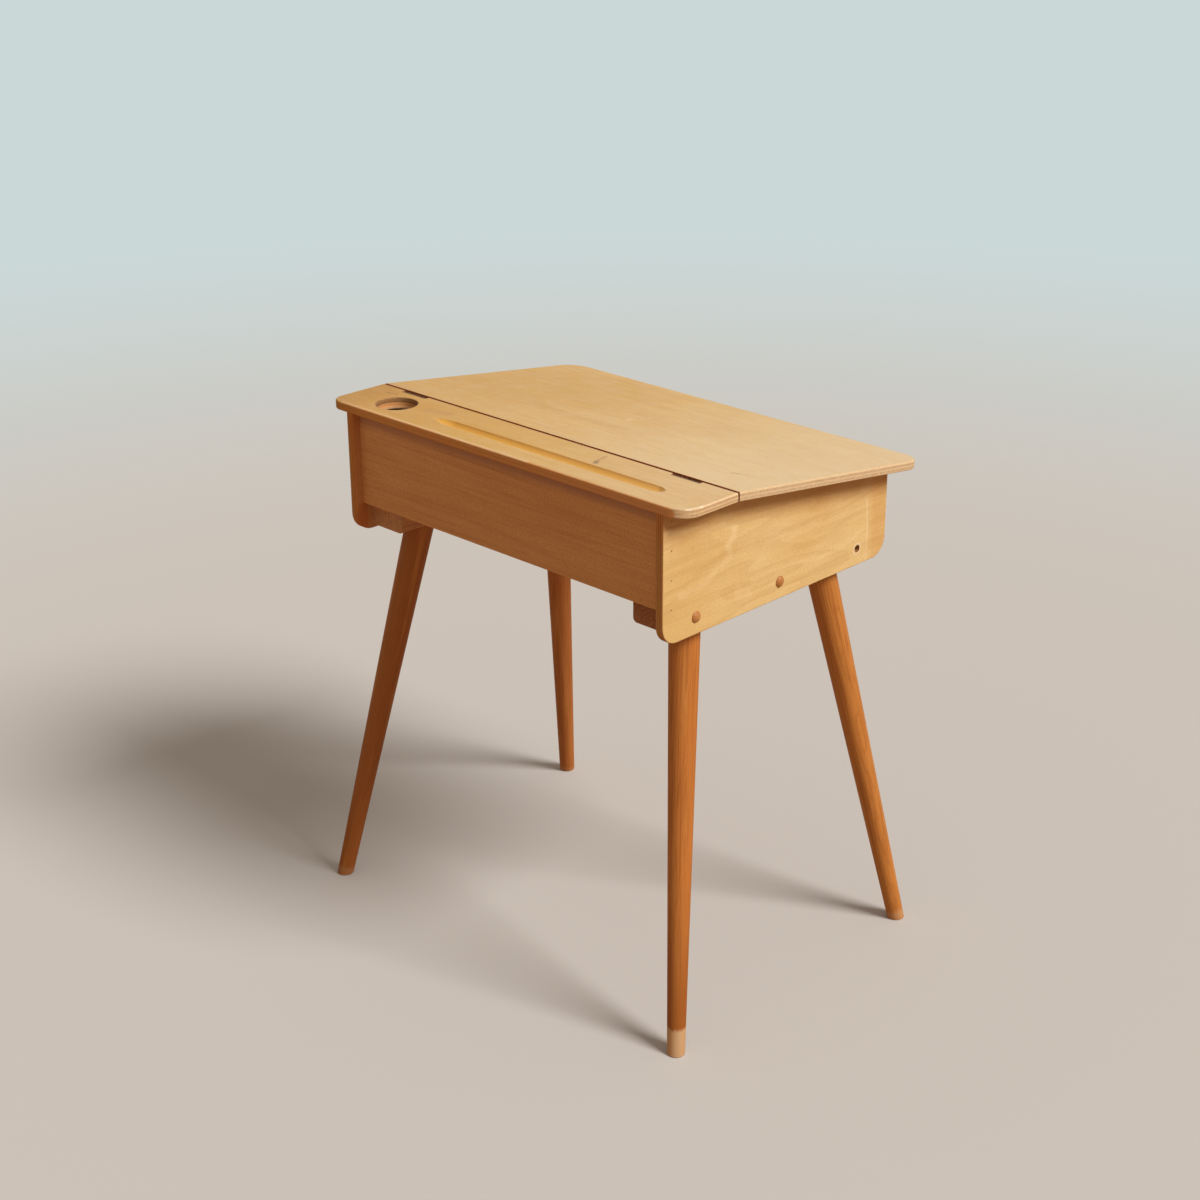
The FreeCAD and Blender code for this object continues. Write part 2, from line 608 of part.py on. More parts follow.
def lid_leaf_plate(side, play, past):
    """Plate of the lid's leaf, let in flush with the lid's back edge."""
    middle = HINGE_MIDDLES[side]
    half = HINGE_LENGTH / 2 + play
    high = PIVOT_Z - HINGE_BARREL_RADIUS + HINGE_LEAF + play
    return box(middle - half, middle + half, LID_BACK_Y - HINGE_LEAF - play, LID_BACK_Y + past,
               LEAF_BOTTOM_Z - play, high)


def lid_leaf(side):
    """Leaf on the lid's back edge, with a neck that runs under the barrel."""
    middle = HINGE_MIDDLES[side]
    half = HINGE_LENGTH / 2
    low = PIVOT_Z - HINGE_BARREL_RADIUS
    neck = box(middle - half, middle + half, LID_BACK_Y - HINGE_LEAF, PIVOT_Y, low, low + HINGE_LEAF)
    plate = lid_leaf_plate(side, 0, 0).fuse(neck)
    leaf = hinge_leaf(side, plate, 1)
    return leaf.cut([countersink(place, V(0, -1, 0)) for place in lid_screw_heads(side)])


def hinge_pin(side):
    """Pin through all knuckles, with a small head at each end."""
    middle = HINGE_MIDDLES[side]
    half = HINGE_LENGTH / 2
    play = HINGE_GAP / 2
    pin = axis_bar(HINGE_PIN_RADIUS, middle - half - play, middle + half + play)
    heads = []
    for end in (-1, 1):
        start = middle + end * (half + play)
        heads.append(axis_bar(HINGE_PIN_HEAD_RADIUS, start, start + end * HINGE_PIN_HEAD_LENGTH))
    return pin.fuse(heads)


def fixed_screw_heads(side):
    """Heads of the screws in the strip's leaf."""
    middle = HINGE_MIDDLES[side]
    return [V(middle + end * HINGE_SCREW_OFFSET, NOTCH_Y - HINGE_LEAF, HINGE_SCREW_Z) for end in (-1, 1)]


def lid_screw_heads(side):
    """Heads of the screws in the lid's leaf."""
    middle = HINGE_MIDDLES[side]
    return [V(middle + end * HINGE_SCREW_OFFSET, LID_BACK_Y, HINGE_SCREW_Z) for end in (-1, 1)]


def hinge_screw(head, way):
    """Small countersunk screw of a hinge leaf."""
    return slotted_screw(head, way, HINGE_SCREW_RADIUS, HINGE_SCREW_HEAD_RADIUS, HINGE_LEAF,
                         HINGE_SCREW_LENGTH, HINGE_SCREW_SLOT)


def countersink(head, way):
    """Countersunk hole through a hinge leaf."""
    points = [
        (0, 0),
        (0, HINGE_SCREW_HEAD_RADIUS + SCREW_PLAY),
        (HINGE_LEAF, HINGE_SCREW_RADIUS + SCREW_PLAY),
        (HINGE_LEAF, 0),
    ]
    return spun(points, head, way)


def hinge_screw_hole(head, way):
    """Hole in the wood behind a hinge leaf."""
    return rod(HINGE_SCREW_RADIUS + SCREW_PLAY, head, head.add(way * (HINGE_SCREW_LENGTH + SCREW_PLAY)))


def build():
    """All sub-parts by node name."""
    nodes = {
        "pen_tray_strip": pen_tray_strip(),
        "inkwell_plate": inkwell_plate(),
        "lid": lid(),
        "back_panel": back_panel(),
        "front_panel": front_panel(),
        "bottom_board": bottom_board(),
    }
    dowels = [dowel(place, 0, 0) for side in (-1, 1) for place in dowel_places(side)]
    nodes["strip_dowels"] = Part.Compound(dowels)
    board_pins = [panel_pin(head, V(0, 0, -1)) for side in (-1, 1) for head in bottom_pin_heads(side)]
    nodes["bottom_board_pins"] = Part.Compound(board_pins)
    for side, name in ((-1, "left"), (1, "right")):
        nodes["side_panel_" + name] = side_panel(side)
        nodes["leg_rail_" + name] = leg_rail(side)
        for end, place in ((-1, "front"), (1, "back")):
            nodes["leg_" + place + "_" + name] = leg(side, end)
        nodes["rail_screws_" + name] = Part.Compound([rail_screw(side, y) for y in RAIL_SCREW_YS])
        # The front cap on the left is missing and shows its screw
        capped = RAIL_SCREW_YS if side > 0 else RAIL_SCREW_YS[1:]
        nodes["screw_caps_" + name] = Part.Compound([screw_cap(side, y) for y in capped])
        back_pins = [panel_pin(head, V(-side, 0, 0)) for head in back_pin_heads(side)]
        nodes["back_panel_pins_" + name] = Part.Compound(back_pins)
        nodes["hinge_" + name + "_fixed_leaf"] = fixed_leaf(side)
        nodes["hinge_" + name + "_lid_leaf"] = lid_leaf(side)
        nodes["hinge_" + name + "_pin"] = hinge_pin(side)
        fixed = [hinge_screw(head, V(0, 1, 0)) for head in fixed_screw_heads(side)]
        nodes["hinge_" + name + "_fixed_screws"] = Part.Compound(fixed)
        moving = [hinge_screw(head, V(0, -1, 0)) for head in lid_screw_heads(side)]
        nodes["hinge_" + name + "_lid_screws"] = Part.Compound(moving)
    return nodes


os.makedirs("parts", exist_ok=True)
for node, shape in build().items():
    shape.exportStep("parts/" + node + ".step")
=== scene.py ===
"""Looks of a school desk: sloping plywood lid, level strip with pen groove and inkwell hole, splayed turned legs.

Blender's unit is the metre. Fields and constants whose names end in mm are millimetres, and
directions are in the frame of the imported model: +X is the pupil's right and +Z is up.
"""

from __future__ import annotations

import logging
import math
from dataclasses import dataclass, replace
from enum import Enum
from functools import partial
from typing import Any, Callable, Mapping, Sequence, TypeVar

import bpy
from mathutils import Matrix, Vector

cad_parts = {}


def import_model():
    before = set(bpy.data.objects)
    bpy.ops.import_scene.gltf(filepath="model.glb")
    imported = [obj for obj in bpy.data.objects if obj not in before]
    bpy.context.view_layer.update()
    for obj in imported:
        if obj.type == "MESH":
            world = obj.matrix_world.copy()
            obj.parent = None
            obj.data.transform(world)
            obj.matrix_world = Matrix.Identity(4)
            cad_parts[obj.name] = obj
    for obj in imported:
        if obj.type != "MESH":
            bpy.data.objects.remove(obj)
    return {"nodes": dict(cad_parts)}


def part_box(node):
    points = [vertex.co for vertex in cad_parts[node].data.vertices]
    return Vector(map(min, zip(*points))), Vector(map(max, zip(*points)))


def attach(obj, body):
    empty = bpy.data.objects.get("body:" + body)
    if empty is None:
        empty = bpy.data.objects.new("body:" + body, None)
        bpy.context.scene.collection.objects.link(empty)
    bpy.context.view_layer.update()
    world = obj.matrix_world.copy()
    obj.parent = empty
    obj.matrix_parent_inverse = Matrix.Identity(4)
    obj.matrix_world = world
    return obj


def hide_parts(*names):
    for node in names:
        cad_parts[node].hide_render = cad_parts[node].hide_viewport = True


LOG = logging.getLogger("school_desk")

MM = 0.001
TURN = 2 * math.pi

Triple = tuple[float, float, float]
# Adds a node to one tree: add_node without its first argument
Adder = Callable[..., Any]


class Axis(Enum):
    """A straight direction of the frame."""

    X = (1.0, 0.0, 0.0)
    Y = (0.0, 1.0, 0.0)
    Z = (0.0, 0.0, 1.0)

    def stretched(self, width: float, length: float) -> Triple:
        """Returns length along this axis and width along the two others."""
        return tuple(length if part else width for part in self.value)


@dataclass(frozen=True)
class NodeKind:
    """One kind of shader node.

    Attributes:
        type: Node type, without its ShaderNode prefix.
        inputs: Inputs in the order in which they are fed, by name or index.
        output: Output that is handed on, by name or index.
        operation: What it works out, where it can be told.
        settings: Names and values of its other properties.
    """

    type: str
    inputs: tuple[str | int, ...] = ()
    output: str | int = 0
    operation: str = ""
    settings: tuple[tuple[str, Any], ...] = ()


class Node(Enum):
    """Shader nodes that the finishes and the studio are made of."""

    PLACE = NodeKind("TexCoord", output="Object")
    FACING = NodeKind("TexCoord", output="Normal")
    WAY = NodeKind("TexCoord", output="Generated")
    CAMERA_RAY = NodeKind("LightPath", output="Is Camera Ray")
    GLOSSY_RAY = NodeKind("LightPath", output="Is Glossy Ray")
    TRANSMISSION_RAY = NodeKind("LightPath", output="Is Transmission Ray")
    # A share, the colour below and the colour above it
    LAYER = NodeKind("Mix", (0, 6, 7), 2, settings=(("data_type", "RGBA"),))
    CHOICE = NodeKind("Mix", (0, 2, 3), settings=(("data_type", "FLOAT"),))
    # A value, its range and the range that it is turned into
    FADE = NodeKind("MapRange", (0, 1, 2, 3, 4), settings=(("interpolation_type", "SMOOTHSTEP"),))
    RESCALE = NodeKind("MapRange", (0, 1, 2, 3, 4))
    NOISE = NodeKind("TexNoise", ("Vector", "Scale", "Detail"))
    NOISE_WAYS = NodeKind("TexNoise", ("Vector", "Scale", "Detail"), "Color")
    CELLS = NodeKind("TexVoronoi", ("Vector", "Scale"))
    # A place, and where another set of axes stands and how it is turned
    OWN_PLACE = NodeKind("Mapping", ("Vector", "Location", "Rotation"), settings=(("vector_type", "TEXTURE"),))
    STRETCH = NodeKind("VectorMath", (0, 1), 0, "MULTIPLY")
    SHIFT = NodeKind("VectorMath", (0, 1), 0, "ADD")
    OFFSET = NodeKind("VectorMath", (0, 1), 0, "SUBTRACT")
    GROW = NodeKind("VectorMath", (0, "Scale"), 0, "SCALE")
    DOT = NodeKind("VectorMath", (0, 1), "Value", "DOT_PRODUCT")
    LENGTH = NodeKind("VectorMath", (0,), "Value", "LENGTH")
    DISTANCE = NodeKind("VectorMath", (0, 1), "Value", "DISTANCE")
    PAIR = NodeKind("CombineXYZ", (0, 1))
    ADD = NodeKind("Math", (0, 1), 0, "ADD")
    SHARE = NodeKind("Math", (0, 1), 0, "ADD", (("use_clamp", True),))
    TAKE = NodeKind("Math", (0, 1), 0, "SUBTRACT")
    TIMES = NodeKind("Math", (0, 1), 0, "MULTIPLY")
    LEAST = NodeKind("Math", (0, 1), 0, "MINIMUM")
    MOST = NodeKind("Math", (0, 1), 0, "MAXIMUM")
    MODULO = NodeKind("Math", (0, 1), 0, "MODULO")
    SIZE = NodeKind("Math", (0,), 0, "ABSOLUTE")
    WHOLE = NodeKind("Math", (0,), 0, "FLOOR")
    REST = NodeKind("Math", (0,), 0, "FRACT")
    WAVE = NodeKind("Math", (0,), 0, "SINE")
    BUMP = NodeKind("Bump", ("Height", "Strength", "Distance"))
    VARNISHED = NodeKind(
        "BsdfPrincipled",
        ("Base Color", "Roughness", "Normal", "Specular IOR Level", "Coat Weight", "Coat Roughness"),
    )
    METAL = NodeKind("BsdfPrincipled", ("Base Color", "Roughness", "Normal", "Metallic"))
    PAINT = NodeKind("BsdfDiffuse", ("Color",))
    GLOW = NodeKind("Emission", ("Color", "Strength"))
    SURROUND = NodeKind("Background", ("Color", "Strength"))
    BLEND = NodeKind("MixShader", (0, 1, 2))
    SURFACE_END = NodeKind("OutputMaterial", ("Surface",))
    WORLD_END = NodeKind("OutputWorld", ("Surface",))


def add_node(tree: bpy.types.NodeTree, node: Node, *feeds: Any) -> Any:
    """Adds one shader node with its settings, values and links.

    Args:
        tree: Node tree that takes the node.
        node: The kind of node.
        *feeds: A value or an output for each of the kind's inputs, in their order.

    Returns:
        The kind's output, or None where it has none.
    """
    kind = node.value
    added = tree.nodes.new("ShaderNode" + kind.type)
    if kind.operation:
        added.operation = kind.operation
    for name, value in kind.settings:
        setattr(added, name, value)
    for key, feed in zip(kind.inputs, feeds):
        if isinstance(feed, bpy.types.NodeSocket):
            tree.links.new(feed, added.inputs[key])
        else:
            added.inputs[key].default_value = feed
    return added.outputs[kind.output] if added.outputs else None


def linear(hex_colour: str) -> tuple[float, float, float, float]:
    """Turns an sRGB colour such as '#D9B27A' into linear red, green, blue and alpha."""
    parts = [int(hex_colour[i : i + 2], 16) / 255 for i in (1, 3, 5)]
    red, green, blue = [p / 12.92 if p <= 0.04045 else ((p + 0.055) / 1.055) ** 2.4 for p in parts]
    return red, green, blue, 1.0


def lay_over(add: Adder, colour: Any, *layers: tuple[Any, float, float, float, str]) -> Any:
    """Lays colours over one another, each of them where its pattern is strong.

    Args:
        add: Adds a node to the tree.
        colour: The lowest colour.
        *layers: For each further one, its pattern, the two values of it between which the colour
            comes in, the share of it that then shows, and the colour.

    Returns:
        The colour that they give together.
    """
    for pattern, low, high, most, over in layers:
        share = add(Node.FADE, pattern, low, high, 0.0, most)
        colour = add(Node.LAYER, share, colour, linear(over))
    return colour


def blank_material(name: str) -> tuple[bpy.types.Material, Adder]:
    """Makes a material without nodes, and the function that adds nodes to it."""
    material = bpy.data.materials.new(name)
    material.use_nodes = True
    material.node_tree.nodes.clear()
    return material, partial(add_node, material.node_tree)


def add_object(name: str, data: bpy.types.ID) -> bpy.types.Object:
    """Makes an object of a mesh, lamp or camera and links it into the scene."""
    made = bpy.data.objects.new(name, data)
    bpy.context.scene.collection.objects.link(made)
    return made


@dataclass(frozen=True)
class Grain:
    """Patterns that are drawn out along the grain of a piece of wood.

    Attributes:
        add: Adds a node to the tree.
        place: Position that they are read at.
        along: Direction of the grain.
    """

    add: Adder
    place: Any
    along: Axis

    def patch(self, width_mm: float, length_mm: float) -> Any:
        """Returns the position, counted in patches across and along the grain."""
        scale = self.along.stretched(1 / (width_mm * MM), 1 / (length_mm * MM))
        return self.add(Node.STRETCH, self.place, scale)

    def streaks(self, width_mm: float, length_mm: float, detail: float = 2.0) -> Any:
        """Returns drawn-out patches of one size, about 0.5 on average."""
        return self.add(Node.NOISE, self.patch(width_mm, length_mm), 1.0, detail)

    def flecks(self, width_mm: float, length_mm: float) -> Any:
        """Returns short dashes: 1 on a dash and 0 between them."""
        cells = self.add(Node.CELLS, self.patch(width_mm, length_mm), 1.0)
        return self.add(Node.FADE, cells, 0.1, 0.34, 1.0, 0.0)


@dataclass(frozen=True)
class Mark:
    """A stain, scratch, worn line, pale streak, painted highlight or painted shade, drawn as a soft stroke
    between points.

    Attributes:
        colour: Colour of the stroke.
        strength: How much of the colour shows at its middle, from 0 to 1.
        half_width_mm: Distance from its line at which the stroke is gone.
        points_mm: Corners of the stroke; one point makes a spot.
        core_share: Share of the half width that has full strength.
        wander_mm: How far the stroke strays from its line.
        feather: How far the grain breaks the stroke up, from 0 to 1.
    """

    colour: str
    strength: float
    half_width_mm: float
    points_mm: tuple[Triple, ...]
    core_share: float = 0.1
    wander_mm: float = 2.0
    feather: float = 0.3

    def gap(self, add: Adder, place: Any) -> Any:
        """Returns the distance of place from the stroke's line."""
        ends = self.points_mm if len(self.points_mm) > 1 else self.points_mm * 2
        nearest = None
        for first, second in zip(ends, ends[1:]):
            start = Vector(first) * MM
            run = Vector(second) * MM - start
            offset = add(Node.OFFSET, place, start)
            along = add(Node.DOT, offset, run / (run.length_squared or 1.0))
            share = add(Node.SHARE, along, 0.0)
            gap = add(Node.DISTANCE, offset, add(Node.GROW, run, share))
            nearest = gap if nearest is None else add(Node.LEAST, nearest, gap)
        return nearest

    def mask(self, add: Adder, place: Any, ways: Any, grain: Any) -> Any:
        """Finds how much of the stroke shows.

        Args:
            add: Adds a node to the tree.
            place: Position in the frame.
            ways: Direction, about as long as 1, in which the stroke strays there.
            grain: Drawn-out lines of the grain, from 0 to 1.

        Returns:
            The share of the stroke's colour at place.
        """
        stray = add(Node.GROW, ways, self.wander_mm * MM)
        gap = self.gap(add, add(Node.SHIFT, place, stray))
        edge = self.half_width_mm * MM
        share = add(Node.FADE, gap, edge * self.core_share, edge, self.strength, 0.0)
        return add(Node.TIMES, share, add(Node.CHOICE, self.feather, 1.0, grain))


@dataclass(frozen=True)
class RingMark(Mark):
    """A mark round a hole or a cap; its one point is the middle of the ring.

    Attributes:
        radius_mm: Radius of the ring.
        axis: Axis of the ring.
    """

    radius_mm: float = 10.0
    axis: Axis = Axis.Z

    def gap(self, add: Adder, place: Any) -> Any:
        """Returns the distance of place from the ring."""
        offset = add(Node.OFFSET, place, Vector(self.points_mm[0]) * MM)
        flat = add(Node.STRETCH, offset, self.axis.stretched(1.0, 0.0))
        radius = add(Node.LENGTH, flat)
        outward = add(Node.TAKE, radius, self.radius_mm * MM)
        along = add(Node.DOT, offset, self.axis.value)
        return add(Node.LENGTH, add(Node.PAIR, outward, along))


@dataclass(frozen=True)
class Board:
    """How the layers of one plywood board lie.

    Attributes:
        through: Direction through the board, from its first face to its last.
        start_mm: Distance of the first face along that direction.
        thickness_mm: Distance between the two faces.
        plies: Number of layers.
        grain: Grain of the outer layers and of every other one between them.
        cross: Grain of the layers in between.
    """

    through: Triple
    start_mm: float
    thickness_mm: float
    plies: int
    grain: Axis
    cross: Axis

    @classmethod
    def measured(cls, node: bpy.types.Object, through: Triple, plies: int, grain: Axis, cross: Axis) -> Board:
        """Takes the board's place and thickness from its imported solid."""
        depths = [vertex.co.dot(Vector(through)) / MM for vertex in node.data.vertices]
        start = min(depths)
        return cls(through, start, max(depths) - start, plies, grain, cross)


@dataclass(frozen=True)
class VarnishedPly:
    """Rotary-cut hardwood plywood, sanded and clear varnished.

    The face shows long growth lines, fine pores and short dashes. A cut edge shows the layers,
    darker where a layer is seen end-on, with thin glue lines between them. Satin varnish lies over
    it, thinner and paler on the rounded edges, partly rubbed and partly a painted highlight.

    Attributes:
        name: Name of the material.
        ground: Main colour of the face.
        light: Colour of the pale clouds.
        dark: Colour of the lines, pores and dashes.
        aged: Colour of the yellowed clouds.
        rubbed: Colour of the rounded edges, partly worn and partly a painted highlight.
        edge_long: Colour of a layer seen along its grain.
        edge_end: Colour of a layer seen end-on.
        glue: Strength of the glue lines.
        figure: Strength of the growth lines.
        figure_mm: Width and length of a patch of the figure.
        figure_lines: Growth lines over one patch.
        streak: Strength of the pores and fine streaks.
        fleck: Strength of the dashes.
        cloud: Strength of the pale and yellowed clouds.
        edge_pale: How far rounded edges turn paler, partly worn and partly a painted highlight.
        roughness: Roughness of the varnish.
        plies: Number of layers.
        marks: Stains, scratches, pale streaks, painted highlights and painted shade on it.
    """

    name: str
    ground: str
    light: str
    dark: str
    aged: str
    rubbed: str
    edge_long: str
    edge_end: str
    glue: float = 0.35
    figure: float = 0.1
    figure_mm: tuple[float, float] = (60.0, 520.0)
    figure_lines: float = 5.0
    streak: float = 0.24
    fleck: float = 0.3
    cloud: float = 0.3
    edge_pale: float = 0.3
    roughness: float = 0.45
    plies: int = 3
    marks: tuple[Mark, ...] = ()

    # Dashes are drawn twice as wide as real ones so that they show
    FLECK_MM = (1.3, 7.0)
    PORE_MM = (1.4, 60.0)
    BAND_MM = (7.0, 260.0)
    SPECKLE_MM = (1.6, 3.0)
    CLOUD_MM = (32.0, 85.0)
    AGED_MM = 130.0
    WORN_MM = 26.0
    # Glue lines are drawn at 0.3 mm, three times the real ones, so that they show
    GLUE_LINE_MM = 0.3
    # Waves of the layers, how far they stray and how strongly a cut edge is specked
    UNEVEN_MM = 22.0
    DRIFT_MM = 0.5
    SPECK = 0.35
    # Nicks: distance between them, radii of core and rim, darkness, and depth beside a pore's
    NICK_MM = 45.0
    NICK_RADII_MM = (0.54, 1.35)
    NICK = 0.5
    NICK_DEPTH = 3.0
    WANDER_MM = 14.0
    FEATHER_MM = (2.2, 26.0)
    # Strength of the bump and the height that it stands for
    BUMP = (0.12, 0.1 * MM)
    # Satin varnish that has worn thin over the wood
    SPECULAR = 0.15
    COAT = 0.03
    COAT_ROUGHNESS = 0.3
    # Least and most that is added to the roughness, and more on cut edges, which have soaked the varnish up
    ROUGHER = (-0.05, 0.08)
    EDGE_ROUGHER = 0.5

    def face(self, add: Adder, place: Any, board: Board) -> tuple[Any, Any]:
        """Draws the face veneer.

        Args:
            add: Adds a node to the tree.
            place: Position in the frame.
            board: The board whose grain the veneer follows.

        Returns:
            The colour, and the height of its pores and dashes for the bump.
        """
        grain = Grain(add, place, board.grain)
        aging = add(Node.NOISE, place, 1 / (self.AGED_MM * MM), 3.0)
        patches = grain.streaks(*self.figure_mm, detail=1.5)
        rings = add(Node.REST, add(Node.TIMES, patches, self.figure_lines * 2))
        bands, pores, speckle = (
            grain.streaks(*size, detail=3.0) for size in (self.BAND_MM, self.PORE_MM, self.SPECKLE_MM)
        )
        colour = lay_over(
            add,
            linear(self.ground),
            (grain.streaks(*self.CLOUD_MM), 0.42, 0.72, self.cloud, self.light),
            (aging, 0.4, 0.68, self.cloud, self.aged),
            (rings, 0.35, 0.97, self.figure, self.dark),
            (bands, 0.45, 0.78, self.streak, self.dark),
            (pores, 0.5, 0.78, self.streak, self.dark),
            (speckle, 0.42, 0.7, self.streak, self.dark),
        )
        flecks = grain.flecks(*self.FLECK_MM)
        share = add(Node.TIMES, flecks, self.fleck)
        colour = add(Node.LAYER, share, colour, linear(self.dark))
        return colour, add(Node.TAKE, pores, flecks)

    def edge(self, add: Adder, place: Any, facing: Any, board: Board) -> Any:
        """Draws the layers of a cut edge.

        Args:
            add: Adds a node to the tree.
            place: Position in the frame.
            facing: Surface direction in the frame.
            board: The board whose layers show.

        Returns:
            The colour of the edge.
        """
        uneven = add(Node.NOISE, place, 1 / (self.UNEVEN_MM * MM), 2.0)
        drift = add(Node.RESCALE, uneven, 0.0, 1.0, -self.DRIFT_MM * MM, self.DRIFT_MM * MM)
        depth = add(Node.ADD, add(Node.DOT, place, board.through), drift)
        start = board.start_mm * MM
        end = start + board.thickness_mm * MM
        # A trace less than the number of layers, so that the last face still belongs to the last layer
        layer = add(Node.RESCALE, depth, start, end, 0.0, board.plies - 0.001)
        odd = add(Node.MODULO, add(Node.WHOLE, layer), 2.0)
        ends = (add(Node.SIZE, add(Node.DOT, facing, grain.value)) for grain in (board.grain, board.cross))
        end_on = add(Node.CHOICE, odd, *ends)
        # How far a place is from the middle of its layer, counted in layers, and half a glue line
        away = add(Node.SIZE, add(Node.TAKE, add(Node.REST, layer), 0.5))
        line = self.GLUE_LINE_MM / board.thickness_mm * board.plies / 2
        specks = add(Node.NOISE, place, 1 / (self.FLECK_MM[1] * MM), 3.0)
        return lay_over(
            add,
            linear(self.edge_long),
            (end_on, 0.3, 0.9, 1.0, self.edge_end),
            (away, 0.5 - line * 1.6, 0.5 - line * 0.4, self.glue, self.dark),
            (specks, 0.4, 0.75, self.SPECK, self.dark),
        )

    def material(self, board: Board) -> bpy.types.Material:
        """Builds the material for one board.

        Args:
            board: The board that it covers.

        Returns:
            The material.
        """
        material, add = blank_material(self.name)
        place = add(Node.PLACE)
        facing = add(Node.FACING)
        colour, height = self.face(add, place, board)
        flat = add(Node.SIZE, add(Node.DOT, facing, board.through))
        cut = add(Node.FADE, flat, 0.8, 0.97, 1.0, 0.0)
        colour = add(Node.LAYER, cut, colour, self.edge(add, place, facing, board))
        # Rounded edges turn paler: partly rubbed varnish, partly a painted highlight
        rounded = add(Node.FADE, flat, 0.15, 0.55, 0.0, 1.0)
        patchy = add(Node.NOISE, place, 1 / (self.WORN_MM * MM), 2.0)
        worn = add(Node.FADE, patchy, 0.35, 0.6, self.edge_pale / 2, self.edge_pale)
        share = add(Node.TIMES, add(Node.TIMES, cut, rounded), worn)
        colour = add(Node.LAYER, share, colour, linear(self.rubbed))
        noise = add(Node.NOISE_WAYS, place, 1 / (self.WANDER_MM * MM), 2.0)
        ways = add(Node.GROW, add(Node.OFFSET, noise, (0.5, 0.5, 0.5)), 2.0)
        lines = Grain(add, place, board.grain).streaks(*self.FEATHER_MM, detail=3.0)
        broken = add(Node.FADE, lines, 0.4, 0.6, 0.0, 1.0)
        for mark in self.marks:
            share = mark.mask(add, place, ways, broken)
            colour = add(Node.LAYER, share, colour, linear(mark.colour))
        nicks = add(Node.CELLS, place, 1 / (self.NICK_MM * MM))
        core, rim = (radius / self.NICK_MM for radius in self.NICK_RADII_MM)
        nick = add(Node.FADE, nicks, core, rim, 1.0, 0.0)
        share = add(Node.TIMES, nick, self.NICK)
        colour = add(Node.LAYER, share, colour, linear(self.dark))
        height = add(Node.TAKE, height, add(Node.TIMES, nick, self.NICK_DEPTH))
        bump = add(Node.BUMP, height, *self.BUMP)
        rough = add(Node.FADE, patchy, 0.3, 0.7, *(self.roughness + more for more in self.ROUGHER))
        rough = add(Node.CHOICE, cut, rough, self.roughness + self.EDGE_ROUGHER)
        feeds = (colour, rough, bump, self.SPECULAR, self.COAT, self.COAT_ROUGHNESS)
        add(Node.SURFACE_END, add(Node.VARNISHED, *feeds))
        return material


